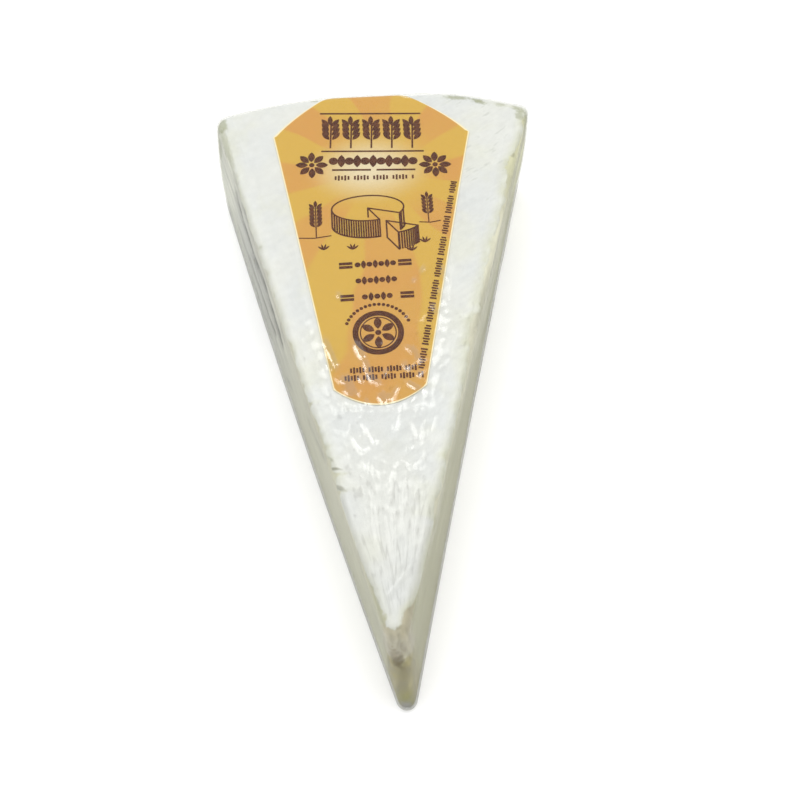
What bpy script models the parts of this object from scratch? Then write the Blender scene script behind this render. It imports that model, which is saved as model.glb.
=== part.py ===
"""Wedge of soft cheese with a white rind: one twelfth of a wheel, a paper label and a tight clear wrap.

Metres, +Z up. The wedge rests on its flat underside, with its point towards -Y and its heel, the curved
piece of the wheel's rim, towards +Y. The cheese, the label and the wrap are three separate pieces, one
outside the other, and all three follow one surface at different distances from it.
"""
import math

import bmesh
import bpy
from mathutils import Vector, noise

# The wheel, and the slice cut from it. The wheel's centre is the slice's sharp point before it blunts.
WHEEL_HEIGHT = 0.0340
SLICE_ANGLE = math.radians(29.9)

# The underside's outline. The nose is round. A corner has the wheel's radius there, its own round radius
# and how far it is inside the cut's radial line. A bow is how far the middle of a cut face bulges.
LOW_NOSE = (0.00096, 0.00988)
LOW_NOSE_RADIUS = 0.0021
LOW_RIM = 0.1700
LOW_LEFT_CORNER = (0.1700, 0.0060, 0.0)
LOW_RIGHT_CORNER = (0.1700, 0.0030, 0.0003)
LOW_LEFT_BOW = 0.0010
LOW_RIGHT_BOW = -0.0003

# The top's outline. The heel has sagged: at angles from the middle, in degrees, it is off the true arc.
HIGH_NOSE = (-0.0008, 0.0186)
HIGH_NOSE_RADIUS = 0.0028
HIGH_RIM = 0.1701
HIGH_LEFT_CORNER = (0.1707, 0.0038, 0.0021)
HIGH_RIGHT_CORNER = (0.1687, 0.0024, -0.0008)
HEEL_SAG = [(-8.0, 0.00014), (-4.0, 0.00018), (0.0, -0.00013), (4.0, 0.00022), (8.0, 0.00090)]

# Round edges, seen from the side: small along the cuts, larger along the wheel's own rim.
CUT_BROW_RADIUS = 0.0018
HEEL_BROW_RADIUS = 0.0024
CUT_FOOT_RADIUS = 0.0014
HEEL_FOOT_RADIUS = 0.0040

# The walls belly out a little at mid height; the top is gently uneven.
WALL_BELLY = 0.0007
TOP_RELIEF = 0.00045
TOP_RELIEF_LENGTH = 0.055
TOP_RELIEF_SLICE = 0.37

# The paper label: flat size, distances from the wheel's centre, and how far it was stuck on askew.
LABEL_THICKNESS = 0.0003
LABEL_GAP = 0.0003
LABEL_START = 0.0718
LABEL_SHOULDER = 0.1556
LABEL_END = 0.1728
LABEL_FOOT_WIDTH = 0.0224
LABEL_SHOULDER_WIDTH = 0.0517
LABEL_HEAD_WIDTH = 0.0220
LABEL_HEAD_SWELL = 0.0020
LABEL_FOOT_BOW = 0.0048
LABEL_HEAD_BOW = 0.0040
LABEL_SKEW = 0.0010
LABEL_FOOT_SHIFT = -0.0011
LABEL_HEAD_SHIFT = 0.0006

# The clear wrap: close on the cut faces, outside the label on the top and the heel, open underneath.
WRAP_THICKNESS = 0.00025
WRAP_OFFSET_CUT = 0.00065
WRAP_OFFSET_TOP = 0.00125
WRAP_HEM = 0.0030

# Steps round the outline, up the side and in over the top.
NOSE_STEPS = 8
SIDE_STEPS = 24
CORNER_STEPS = 5
HEEL_STEPS = 18
FOOT_STEPS = 2
WALL_STEPS = 3
BROW_STEPS = 4
TOP_STEPS = 7
LABEL_BODY_ROWS = 12
LABEL_HEAD_ROWS = 10
LABEL_COLUMNS = 10

HALF_ANGLE = SLICE_ANGLE / 2
QUARTER_TURN = math.pi / 2
TOP_CENTRE = Vector((0.0, 0.1020))


def mix(a, b, part):
    return a + (b - a) * part


def direction(angle):
    """Unit vector in the plan, at an angle from +X."""
    return Vector((math.cos(angle), math.sin(angle)))


def corner_centre(side, rim, radius, inset):
    """Centre of the round corner between a cut face and the heel; side is -1 left, 1 right."""
    reach = rim - radius
    off_wall = math.asin(radius / reach)
    centre = direction(QUARTER_TURN - side * (HALF_ANGLE - off_wall)) * reach
    inwards = direction(math.pi + HALF_ANGLE) if side > 0 else direction(-HALF_ANGLE)
    return centre + inwards * inset


def side_normal(side, nose, nose_radius, corner, corner_radius):
    """Angle of the outward normal of the straight wall that touches the nose and a corner circle."""
    line = corner - nose
    lean = math.acos((nose_radius - corner_radius) / line.length)
    return math.atan2(line.y, line.x) - side * lean


def smooth_line(knots, where):
    """Height of the smooth line through knots (place, height) at a place between the first and last."""
    places = [knot[0] for knot in knots]
    heights = [knot[1] for knot in knots]
    last = len(knots) - 1
    index = 0
    while index < last - 1 and where > places[index + 1]:
        index += 1
    slopes = []
    for end in (index, index + 1):
        before, after = max(end - 1, 0), min(end + 1, last)
        slopes.append((heights[after] - heights[before]) / (places[after] - places[before]))
    length = places[index + 1] - places[index]
    part = min(max((where - places[index]) / length, 0.0), 1.0)
    rest = 1 - part
    return (heights[index] * (1 + 2 * part) * rest ** 2 + heights[index + 1] * (3 - 2 * part) * part ** 2
            + slopes[0] * length * part * rest ** 2 - slopes[1] * length * part ** 2 * rest)


class Outline:
    """The slice's outline at one height: its points, normals and how much of the heel is in each."""

    def __init__(self, nose, nose_radius, rim, left_corner, right_corner, left_bow, right_bow, sag):
        self.points = []
        self.normals = []
        self.heel = []
        nose = Vector(nose)
        left_radius = left_corner[1]
        right_radius = right_corner[1]
        left = corner_centre(-1, *left_corner)
        right = corner_centre(1, *right_corner)
        left_wall = side_normal(-1, nose, nose_radius, left, left_radius) % math.tau
        right_wall = side_normal(1, nose, nose_radius, right, right_radius)
        right_heel = math.atan2(right.y, right.x)
        left_heel = math.atan2(left.y, left.x)
        left_end = (math.degrees(QUARTER_TURN - left_heel), left.length + left_radius - rim)
        right_end = (math.degrees(QUARTER_TURN - right_heel), right.length + right_radius - rim)
        self.rim = rim
        self.sag = [left_end, *sag, right_end]
        self.arc(nose, nose_radius, left_wall, right_wall % math.tau, NOSE_STEPS, (0, 0))
        self.wall(nose, nose_radius, right, right_radius, right_wall, right_bow)
        self.arc(right, right_radius, right_wall, right_heel, CORNER_STEPS, (0, 1))
        for step in range(HEEL_STEPS):
            normal = direction(mix(right_heel, left_heel, step / HEEL_STEPS))
            self.add(normal * self.rim_radius(normal), normal, 1.0)
        self.arc(left, left_radius, left_heel, left_wall, CORNER_STEPS, (1, 0))
        self.wall(left, left_radius, nose, nose_radius, left_wall, left_bow)

    def rim_radius(self, towards):
        """Distance from the wheel's centre to the heel in a direction."""
        return self.rim + smooth_line(self.sag, math.degrees(math.atan2(towards[0], towards[1])))

    def arc(self, centre, radius, start, end, steps, heel):
        """Points along an arc, without its last one, which the next stretch begins with."""
        for step in range(steps):
            part = step / steps
            normal = direction(mix(start, end, part))
            self.add(centre + normal * radius, normal, mix(heel[0], heel[1], part))

    def wall(self, centre_a, radius_a, centre_b, radius_b, angle, bow):
        """Points along the bowed wall from one circle to the next, without its last one."""
        normal = direction(angle)
        start = centre_a + normal * radius_a
        end = centre_b + normal * radius_b
        for step in range(SIDE_STEPS):
            part = step / SIDE_STEPS
            self.add(start.lerp(end, part) + normal * bow * 4 * part * (1 - part), normal, 0.0)

    def add(self, point, normal, heel):
        self.points.append(point)
        self.normals.append(normal)
        self.heel.append(heel * heel * (3 - 2 * heel))


LOW = Outline(LOW_NOSE, LOW_NOSE_RADIUS, LOW_RIM, LOW_LEFT_CORNER, LOW_RIGHT_CORNER,
              LOW_LEFT_BOW, LOW_RIGHT_BOW, [])
HIGH = Outline(HIGH_NOSE, HIGH_NOSE_RADIUS, HIGH_RIM, HIGH_LEFT_CORNER, HIGH_RIGHT_CORNER, 0.0, 0.0, HEEL_SAG)
COUNT = len(LOW.points)


def top_relief(x, y):
    """Gentle rise and fall of the rind on the top of the wedge."""
    return TOP_RELIEF * noise.noise(Vector((x, y, TOP_RELIEF_SLICE)) / TOP_RELIEF_LENGTH)


def place(x, y, z):
    """A point of the surface, with the top's relief faded out downwards."""
    return Vector((x, y, z + top_relief(x, y) * height_part(z) ** 2))


def height_part(height):
    """How far up the wheel a height is, from 0 at the underside to 1 at the top."""
    return min(max(height / WHEEL_HEIGHT, 0.0), 1.0)


def belly(part):
    """How far the wall swells out at a part of the height."""
    return WALL_BELLY * math.sin(math.pi * part)


def side_point(index, inset, height, offset):
    """A point of the side above one point of the outline, inset from it and offset outwards."""
    part = height_part(height)
    base = LOW.points[index].lerp(HIGH.points[index], part)
    normal = LOW.normals[index].lerp(HIGH.normals[index], part).normalized()
    return base + normal * (belly(part) - inset + offset)


def ring(zone, part, offset_cut, offset_top, hem=0.0):
    """One ring of points round the wedge: a height on the foot, the wall, the brow or the top."""
    points = []
    for index in range(COUNT):
        heel = LOW.heel[index]
        brow = mix(CUT_BROW_RADIUS, HEEL_BROW_RADIUS, heel)
        foot = mix(CUT_FOOT_RADIUS, HEEL_FOOT_RADIUS, heel)
        offset = mix(offset_cut, offset_top, heel)
        if zone == "foot":
            turn = QUARTER_TURN * part
            inset = foot * (1 - math.sin(turn))
            height = foot * (1 - math.cos(turn))
        elif zone == "wall":
            inset = 0.0
            height = mix(max(foot, hem), WHEEL_HEIGHT - brow, part)
        else:
            turn = QUARTER_TURN * (part if zone == "brow" else 1.0)
            inset = brow * (1 - math.cos(turn))
            rise = mix(offset, offset_top, math.sin(turn))
            height = WHEEL_HEIGHT - brow + (brow + rise) * math.sin(turn)
            offset *= math.cos(turn)
        plan = side_point(index, inset, height, offset)
        if zone == "top":
            plan = plan.lerp(TOP_CENTRE, part)
        points.append(place(plan.x, plan.y, height))
    return points


def stations(first):
    """The rings' zones from the given one up over the top, up to but not at the top's centre."""
    for step in range(FOOT_STEPS) if first == "foot" else ():
        yield "foot", step / FOOT_STEPS
    for step in range(WALL_STEPS):
        yield "wall", step / WALL_STEPS
    for step in range(BROW_STEPS):
        yield "brow", step / BROW_STEPS
    for step in range(TOP_STEPS):
        yield "top", step / TOP_STEPS


def add_skin(mesh, first, offset_cut, offset_top, hem=0.0):
    """Adds the skin from its first ring up to the middle of the top, and returns the first ring."""
    rings = []
    for zone, part in stations(first):
        points = ring(zone, part, offset_cut, offset_top, hem)
        rings.append([mesh.verts.new(point) for point in points])
    for lower, upper in zip(rings, rings[1:]):
        for index in range(COUNT):
            following = (index + 1) % COUNT
            mesh.faces.new((lower[index], lower[following], upper[following], upper[index]))
    peak = mesh.verts.new(place(TOP_CENTRE.x, TOP_CENTRE.y, WHEEL_HEIGHT + offset_top))
    for index in range(COUNT):
        mesh.faces.new((rings[-1][index], rings[-1][(index + 1) % COUNT], peak))
    return rings[0]


def way_to_origin():
    """The move from the wheel's centre to the middle of the wrapped wedge's footprint."""
    points = ring("foot", 1.0, 0.0, 0.0)
    for step in range(WALL_STEPS):
        points += ring("wall", step / WALL_STEPS, WRAP_OFFSET_CUT, WRAP_OFFSET_TOP, WRAP_HEM)
    across = [point.x for point in points]
    along = [point.y for point in points]
    return Vector((-(min(across) + max(across)) / 2, -(min(along) + max(along)) / 2, 0.0))


def finish_object(name, mesh, material):
    """Makes the object of a filled mesh, centred on the origin and smooth over its round edges."""
    bmesh.ops.translate(mesh, verts=mesh.verts, vec=way_to_origin())
    data = bpy.data.meshes.new(name)
    mesh.to_mesh(data)
    mesh.free()
    data.shade_smooth()
    data.set_sharp_from_angle(angle=math.radians(50))
    data.materials.append(material)
    part = bpy.data.objects.new(name, data)
    bpy.context.scene.collection.objects.link(part)
    return part


def make_material(name, colour, roughness, alpha=1.0):
    material = bpy.data.materials.new(name)
    material.use_nodes = True
    shader = material.node_tree.nodes["Principled BSDF"]
    shader.inputs["Base Color"].default_value = (*colour, 1.0)
    shader.inputs["Roughness"].default_value = roughness
    shader.inputs["Metallic"].default_value = 0.0
    shader.inputs["Alpha"].default_value = alpha
    return material


def thicken(part, thickness, offset):
    """Gives a single sheet its thickness; offset -1 grows it inwards and 1 outwards."""
    wall = part.modifiers.new("thickness", "SOLIDIFY")
    wall.thickness = thickness
    wall.offset = offset
    wall.use_even_offset = False
    wall.use_rim = True


def make_cheese():
    """The wedge itself: skin over the sides and the top, and one flat face to rest on."""
    mesh = bmesh.new()
    sole = add_skin(mesh, "foot", 0.0, 0.0)
    mesh.faces.new(list(reversed(sole)))
    return finish_object("cheese_wedge", mesh, make_material("rind", (0.85, 0.86, 0.82), 0.7))


def make_wrap():
    """The clear wrap: one sheet over the label and down the sides to a hem just above the table."""
    mesh = bmesh.new()
    add_skin(mesh, "wall", WRAP_OFFSET_CUT, WRAP_OFFSET_TOP, WRAP_HEM)
    clear = make_material("clear_wrap", (0.93, 0.95, 0.94), 0.12, alpha=0.2)
    wrap = finish_object("film_wrap", mesh, clear)
    thicken(wrap, WRAP_THICKNESS, -1.0)
    return wrap


def label_width(along):
    """Width of the flat label at a distance from the wheel's centre."""
    if along < LABEL_SHOULDER:
        part = (along - LABEL_START) / (LABEL_SHOULDER - LABEL_START)
        return mix(LABEL_FOOT_WIDTH, LABEL_SHOULDER_WIDTH, part)
    part = (along - LABEL_SHOULDER) / (LABEL_END - LABEL_SHOULDER)
    return mix(LABEL_SHOULDER_WIDTH, LABEL_HEAD_WIDTH, part) + LABEL_HEAD_SWELL * 4 * part * (1 - part)


def label_point(across, along, offset):
    """Lays a point of the flat label on the top, past the brow of the heel and down it."""
    length = math.hypot(across, along)
    brow_start = HIGH.rim_radius((across, along)) - HEEL_BROW_RADIUS
    if length <= brow_start:
        return place(across, along, WHEEL_HEIGHT + offset)
    swing = HEEL_BROW_RADIUS + offset
    past = length - brow_start
    turn = min(past / swing, QUARTER_TURN)
    height = WHEEL_HEIGHT - HEEL_BROW_RADIUS + swing * math.cos(turn) - (past - swing * turn)
    part = height_part(height)
    rim = mix(LOW.rim_radius((across, along)), HIGH.rim_radius((across, along)), part) + belly(part)
    reach = (rim - HEEL_BROW_RADIUS + swing * math.sin(turn)) / length
    return place(across * reach, along * reach, height)


def make_label():
    """The paper label: bowed foot, long straight sides, cut shoulders and a head bent over the heel."""
    mesh = bmesh.new()
    body = [mix(LABEL_START, LABEL_SHOULDER, row / LABEL_BODY_ROWS) for row in range(LABEL_BODY_ROWS)]
    head = [mix(LABEL_SHOULDER, LABEL_END, row / LABEL_HEAD_ROWS) for row in range(LABEL_HEAD_ROWS + 1)]
    rows = []
    for middle in body + head:
        along = (middle - LABEL_START) / (LABEL_END - LABEL_START)
        foot_share = (1 - along) ** 2
        head_share = along ** 4
        points = []
        for column in range(LABEL_COLUMNS + 1):
            across = 2 * column / LABEL_COLUMNS - 1
            bow = (LABEL_FOOT_BOW * foot_share - LABEL_HEAD_BOW * head_share) * across * across
            bow -= LABEL_SKEW * along ** 2 * across
            side = mix(LABEL_FOOT_SHIFT, LABEL_HEAD_SHIFT, along) + across * label_width(middle) / 2
            points.append(mesh.verts.new(label_point(side, middle + bow, LABEL_GAP)))
        rows.append(points)
    for lower, upper in zip(rows, rows[1:]):
        for a, b, c, d in zip(lower, lower[1:], upper[1:], upper):
            mesh.faces.new((a, b, c, d))
    label = finish_object("paper_label", mesh, make_material("label_paper", (0.80, 0.53, 0.17), 0.6))
    thicken(label, LABEL_THICKNESS, 1.0)
    return label


for old in list(bpy.data.objects):
    bpy.data.objects.remove(old, do_unlink=True)

make_cheese()
make_label()
make_wrap()
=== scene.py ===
# %% [markdown]
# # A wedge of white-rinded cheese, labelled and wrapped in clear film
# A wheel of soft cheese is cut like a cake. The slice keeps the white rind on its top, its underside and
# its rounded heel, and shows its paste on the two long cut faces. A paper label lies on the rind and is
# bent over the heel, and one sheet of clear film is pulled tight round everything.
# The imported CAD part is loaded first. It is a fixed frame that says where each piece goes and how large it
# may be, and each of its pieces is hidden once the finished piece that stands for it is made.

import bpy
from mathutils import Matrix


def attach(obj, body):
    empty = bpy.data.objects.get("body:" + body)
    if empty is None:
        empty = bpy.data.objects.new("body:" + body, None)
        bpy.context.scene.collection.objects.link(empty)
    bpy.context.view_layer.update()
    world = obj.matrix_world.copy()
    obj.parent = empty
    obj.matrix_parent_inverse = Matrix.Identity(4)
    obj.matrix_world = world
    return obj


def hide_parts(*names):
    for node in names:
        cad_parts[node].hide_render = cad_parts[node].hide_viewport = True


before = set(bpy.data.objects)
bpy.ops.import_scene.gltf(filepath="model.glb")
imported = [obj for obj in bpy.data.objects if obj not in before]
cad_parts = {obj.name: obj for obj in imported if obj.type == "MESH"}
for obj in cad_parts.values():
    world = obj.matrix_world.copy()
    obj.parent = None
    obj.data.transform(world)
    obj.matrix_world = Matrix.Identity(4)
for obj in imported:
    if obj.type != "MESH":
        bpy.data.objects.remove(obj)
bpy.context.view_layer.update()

# %% [markdown]
# ### Tools and units
# Blender and MuJoCo both count in metres, while a slice of cheese is read in millimetres, so MM stands for
# one millimetre everywhere below. numpy works on whole rows of points at once: a skin has tens of thousands.
# Two small helpers make a mesh and put a thing in the scene.

# %% More tools
import math

import bpy
import numpy as np
from mathutils import Matrix, Vector, noise

MM = 0.001
QUARTER_TURN = math.pi / 2


def put_in_scene(name, data):
    """Makes an object of a mesh, a lamp or a camera, and puts it in the scene."""
    thing = bpy.data.objects.new(name, data)
    bpy.context.scene.collection.objects.link(thing)
    return thing


def new_mesh(name, points, faces):
    """Makes a mesh of points and faces."""
    data = bpy.data.meshes.new(name)
    data.from_pydata(np.asarray(points).tolist(), [], faces)
    return data


print("Blender", bpy.app.version_string)

# %% [markdown]
# ## The camera
# The photograph looks down on the wedge at about 61 degrees from in front of its point. A camera can be
# placed by hand, but these numbers come from a fit of a pinhole camera to the edges of the slice, so the
# picture's perspective is right as well. The camera's three axes are worked out from two angles and a
# small roll, and go into its matrix as columns.

# %% Camera
CAMERA_TARGET = Vector((1.709, -2.886, 12.0)) * MM
CAMERA_DISTANCE = 311.157 * MM
CAMERA_AZIMUTH = math.radians(-1.780)
CAMERA_ELEVATION = math.radians(60.839)
CAMERA_ROLL = math.radians(-1.751)
FOCAL_PIXELS = 1200
IMAGE_PIXELS = 788
SENSOR_WIDTH = 36.0

camera_back = Vector((
    math.sin(CAMERA_AZIMUTH) * math.cos(CAMERA_ELEVATION),
    -math.cos(CAMERA_AZIMUTH) * math.cos(CAMERA_ELEVATION),
    math.sin(CAMERA_ELEVATION),
))
camera_right = Vector((0, 0, 1)).cross(camera_back).normalized()
camera_right = Matrix.Rotation(CAMERA_ROLL, 3, camera_back) @ camera_right
camera_up = camera_back.cross(camera_right)
camera_axes = Matrix((camera_right, camera_up, camera_back)).transposed()

camera_data = bpy.data.cameras.new("camera")
camera_data.sensor_width = SENSOR_WIDTH
camera_data.lens = SENSOR_WIDTH * FOCAL_PIXELS / IMAGE_PIXELS
camera_data.clip_start = 0.01
camera = put_in_scene("camera", camera_data)
camera.matrix_world = Matrix.Translation(CAMERA_TARGET + camera_back * CAMERA_DISTANCE) @ camera_axes.to_4x4()
bpy.context.scene.camera = camera
print("lens, mm:", round(camera_data.lens, 2))

# %% [markdown]
# ## The shape that everything follows
# The cheese, the label and the film lie over one another, so all three follow one surface at different
# distances from it. The surface is a slice of a wheel: a sector seen from above, with a blunt nose and
# round corners, and a low rounded profile seen from the side. These are the sizes of the CAD part. The
# wheel's centre is the origin while a piece is being made, and the piece is moved into place at its end.
# The numbers of the two outlines are in millimetres and degrees, and the rest are lengths in metres.

# %% Sizes of the slice
WHEEL_HEIGHT = 34.0 * MM
HALF_ANGLE = math.radians(29.9) / 2
LOW_OUTLINE = {
    "nose": (0.96, 9.88), "nose_radius": 2.1, "rim": 170.0, "sag": [],
    "left_corner": (170.0, 6.0, 0.0), "right_corner": (170.0, 3.0, 0.3), "left_bow": 1.0, "right_bow": -0.3,
}
HIGH_OUTLINE = {
    "nose": (-0.8, 18.6), "nose_radius": 2.8, "rim": 170.1,
    "sag": [(-8.0, 0.14), (-4.0, 0.18), (0.0, -0.13), (4.0, 0.22), (8.0, 0.90)],
    "left_corner": (170.7, 3.8, 2.1), "right_corner": (168.7, 2.4, -0.8), "left_bow": 0.0, "right_bow": 0.0,
}
CUT_BROW_RADIUS = 1.8 * MM
HEEL_BROW_RADIUS = 2.4 * MM
CUT_FOOT_RADIUS = 1.4 * MM
HEEL_FOOT_RADIUS = 4.0 * MM
WALL_BELLY = 0.7 * MM
TOP_RELIEF = 0.45 * MM
TOP_RELIEF_LENGTH = 55.0 * MM
TO_PART = np.array([-0.724, -89.748, 0.0]) * MM

# %% [markdown]
# ### Small helpers
# Most shapes here are a mix of two known ones, with a soft step from one to the other. These helpers are
# used by the cheese, the label and the film alike. The smooth line passes through every measured point, but
# unlike a row of straight pieces it has no kinks, which would show as facets on the heel.

# %% Helpers
def mix(a, b, part):
    return a + (b - a) * part


def ease(part):
    """A smooth step from 0 to 1."""
    part = np.clip(part, 0.0, 1.0)
    return part * part * (3 - 2 * part)


def window(values, start, end, rise, fall):
    """1 between start and end and 0 far from there, with a soft rise and a soft fall."""
    return ease((values - start) / rise) * ease((end - values) / fall)


def direction(angle):
    """Unit vectors in the plan, at angles from +X."""
    return np.stack([np.cos(angle), np.sin(angle)], axis=-1)


def smooth_line(knots, where):
    """Heights of the smooth line through knots (place, height)."""
    places, heights = np.array(knots).T
    slopes = np.concatenate([
        [(heights[1] - heights[0]) / (places[1] - places[0])],
        (heights[2:] - heights[:-2]) / (places[2:] - places[:-2]),
        [(heights[-1] - heights[-2]) / (places[-1] - places[-2])],
    ])
    index = np.clip(np.searchsorted(places, where) - 1, 0, len(places) - 2)
    length = places[index + 1] - places[index]
    part = np.clip((where - places[index]) / length, 0.0, 1.0)
    rest = 1 - part
    return (heights[index] * (1 + 2 * part) * rest ** 2 + heights[index + 1] * (3 - 2 * part) * part ** 2
            + slopes[index] * length * part * rest ** 2 - slopes[index + 1] * length * part ** 2 * rest)
print("half of a soft step:", ease(0.5))

# %% [markdown]
# ### The outline
# Seen from above, the outline is a round nose, two cut faces, two round corners and the heel. It could be
# drawn as a curve, but each point is needed with its outward direction and with how much it belongs to the
# heel, so it is worked out here. It is made twice, for the underside and for the top, because the cut faces
# lean, bulge a little in the middle, and the nose slopes back. A corner is given by the wheel's radius
# there, its own round radius, and how far it lies inside the cut. The heel has sagged off its true arc, so
# a smooth line through a few measured distances corrects it.

# %% Outline
WALL_STEPS = 220
NOSE_STEPS = 100
RIGHT_CORNER_STEPS = 8
LEFT_CORNER_STEPS = 10
HEEL_STEPS = NOSE_STEPS - RIGHT_CORNER_STEPS - LEFT_CORNER_STEPS
AROUND = 2 * (WALL_STEPS + NOSE_STEPS)


def corner_centre(side, rim, radius, inset):
    """Centre of the round corner between a cut face and the heel; side is -1 left, 1 right."""
    off_wall = math.asin(radius / (rim - radius))
    centre = direction(QUARTER_TURN - side * (HALF_ANGLE - off_wall)) * (rim - radius)
    inwards = direction(math.pi + HALF_ANGLE) if side > 0 else direction(-HALF_ANGLE)
    return centre + inwards * inset


def wall_angle(side, nose, nose_radius, corner, corner_radius):
    """Angle of the outward normal of the wall that touches the nose and a corner."""
    line = corner - nose
    lean = math.acos((nose_radius - corner_radius) / np.linalg.norm(line))
    return math.atan2(line[1], line[0]) - side * lean


class Outline:
    """The slice's outline at one height: nose, right wall, corner, heel, corner, left wall."""

    def __init__(self, nose, nose_radius, rim, left_corner, right_corner, left_bow, right_bow, sag):
        nose = np.array(nose)
        left_radius, right_radius = left_corner[1], right_corner[1]
        left, right = corner_centre(-1, *left_corner), corner_centre(1, *right_corner)
        to_left = wall_angle(-1, nose, nose_radius, left, left_radius) % math.tau
        to_right = wall_angle(1, nose, nose_radius, right, right_radius)
        right_heel, left_heel = math.atan2(right[1], right[0]), math.atan2(left[1], left[0])
        left_end = (math.degrees(QUARTER_TURN - left_heel), np.linalg.norm(left) + left_radius - rim)
        right_end = (math.degrees(QUARTER_TURN - right_heel), np.linalg.norm(right) + right_radius - rim)
        self.rim = rim
        self.sag = [left_end, *sag, right_end]
        self.points = []
        self.normals = []
        self.stretch(nose, nose, nose_radius, nose_radius, to_left, to_right % math.tau, NOSE_STEPS)
        self.stretch(nose, right, nose_radius, right_radius, to_right, to_right, WALL_STEPS, right_bow)
        self.stretch(right, right, right_radius, right_radius, to_right, right_heel, RIGHT_CORNER_STEPS)
        heel = direction(np.linspace(right_heel, left_heel, HEEL_STEPS, endpoint=False))
        self.points.append(heel * self.rim_radius(heel)[:, None] / MM)
        self.normals.append(heel)
        self.stretch(left, left, left_radius, left_radius, left_heel, to_left, LEFT_CORNER_STEPS)
        self.stretch(left, nose, left_radius, nose_radius, to_left, to_left, WALL_STEPS, left_bow)
        self.points = np.concatenate(self.points) * MM
        self.normals = np.concatenate(self.normals)

    def rim_radius(self, towards):
        """Distance from the wheel's centre to the heel, in metres, in the directions of plan vectors."""
        angle = np.degrees(np.arctan2(towards[..., 0], towards[..., 1]))
        return (self.rim + smooth_line(self.sag, angle)) * MM

    def stretch(self, start, end, start_radius, end_radius, start_angle, end_angle, steps, bow=0.0):
        """Points along an arc or a wall, without its last one, which the next stretch begins with."""
        part = np.linspace(0, 1, steps, endpoint=False)[:, None]
        normal = direction(mix(start_angle, end_angle, part[:, 0]))
        out = mix(start_radius, end_radius, part) + bow * 4 * part * (1 - part)
        self.points.append(mix(start, end, part) + normal * out)
        self.normals.append(normal)

# %% [markdown]
# ### The slice from above, twice
# The same class makes the outline of the underside and of the top. The share of the heel, from 0 on the cut
# faces to 1 on the heel, is kept beside it, because brow and foot are rounder on the heel's soft rind than
# along the sharp cuts. Reading it from the direction of the wall would fail at the corners, where both meet.

# %% Two outlines and the heel's share
low = Outline(**LOW_OUTLINE)
high = Outline(**HIGH_OUTLINE)
heel_share = np.concatenate([
    np.zeros(NOSE_STEPS + WALL_STEPS),
    ease(np.linspace(0, 1, RIGHT_CORNER_STEPS, endpoint=False)),
    np.ones(HEEL_STEPS),
    ease(np.linspace(1, 0, LEFT_CORNER_STEPS, endpoint=False)),
    np.zeros(WALL_STEPS),
])
print("points round the outline:", AROUND, "of", len(low.points))

# %% [markdown]
# ### Rings and patches
# A skin is built from rings of points that climb the side: round the foot, up the wall and over the brow.
# The flat top and the flat underside are closed with a patch each. A fan of triangles would be simpler, but
# it crowds its points in the middle; a patch blended from its four edges keeps them evenly spread, so fine
# relief and wrinkles come out equally sharp everywhere.

# %% Heights
RELIEF_SLICE = 0.37
FOOT_RINGS = 6
SIDE_RINGS = 28
BROW_RINGS = 10
brow_radius = mix(CUT_BROW_RADIUS, HEEL_BROW_RADIUS, heel_share)
foot_radius = mix(CUT_FOOT_RADIUS, HEEL_FOOT_RADIUS, heel_share)


def height_part(height):
    """How far up the wheel a height is, from 0 at the underside to 1 at the top."""
    return np.clip(height / WHEEL_HEIGHT, 0.0, 1.0)


def lift(plan, height):
    """Adds the gentle rise and fall of the rind to heights, fading out downwards."""
    relief = [noise.noise(Vector((x, y, RELIEF_SLICE)) / TOP_RELIEF_LENGTH) for x, y in plan]
    return height + TOP_RELIEF * np.array(relief) * height_part(height) ** 2


def side_ring(height, inset, offset):
    """One ring of points: at each point of the outline, a height and a distance in or out."""
    part = height_part(height)[:, None]
    normal = mix(low.normals, high.normals, part)
    normal /= np.linalg.norm(normal, axis=1, keepdims=True)
    swell = WALL_BELLY * np.sin(math.pi * part) + (offset - inset)[:, None]
    plan = mix(low.points, high.points, part) + normal * swell
    return np.column_stack([plan, lift(plan, height)])


def side_rings(offset_cut, offset_top, offset_floor):
    """The rings from the underside to the top, and how far each point is above or past the wall's top."""
    side = mix(offset_cut, offset_top, heel_share)
    brow_start = WHEEL_HEIGHT - brow_radius
    rings = []
    climbs = []
    for turn in np.linspace(0, QUARTER_TURN, FOOT_RINGS, endpoint=False):
        height = offset_floor + foot_radius * (1 - math.cos(turn))
        rings.append(side_ring(height, foot_radius * (1 - math.sin(turn)), side * math.sin(turn)))
        climbs.append(height - brow_start)
    for part in np.linspace(0, 1, SIDE_RINGS, endpoint=False):
        height = mix(offset_floor + foot_radius, brow_start, part)
        rings.append(side_ring(height, np.zeros(AROUND), side))
        climbs.append(height - brow_start)
    for turn in np.linspace(0, QUARTER_TURN, BROW_RINGS):
        rise = mix(side, offset_top, math.sin(turn))
        height = brow_start + (brow_radius + rise) * math.sin(turn)
        rings.append(side_ring(height, brow_radius * (1 - math.cos(turn)), side * math.cos(turn)))
        climbs.append(brow_radius * turn)
    return np.array(rings), np.array(climbs)

# %% [markdown]
# ### The grid inside a ring
# A patch takes its four edges from the ring round it: the nose, the two walls and the heel. The inner points
# are first blended from the edges and then relaxed: each moves to the middle of its four neighbours, sixty
# times over. The relaxing evens out the slanted rows near the corners, which the blend alone leaves crowded.

# %% Patches
RELAX_ROUNDS = 60


def patch_edges(first):
    """Numbers of the points on the four edges of a patch inside the ring that starts at a number."""
    rows = np.arange(WALL_STEPS + 1)
    columns = np.arange(NOSE_STEPS + 1)
    grid = np.zeros((len(rows), len(columns)), int)
    grid[0] = first + columns
    grid[:, -1] = first + NOSE_STEPS + rows
    grid[-1] = first + 2 * NOSE_STEPS + WALL_STEPS - columns
    grid[:, 0] = first + (AROUND - rows) % AROUND
    return grid


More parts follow.
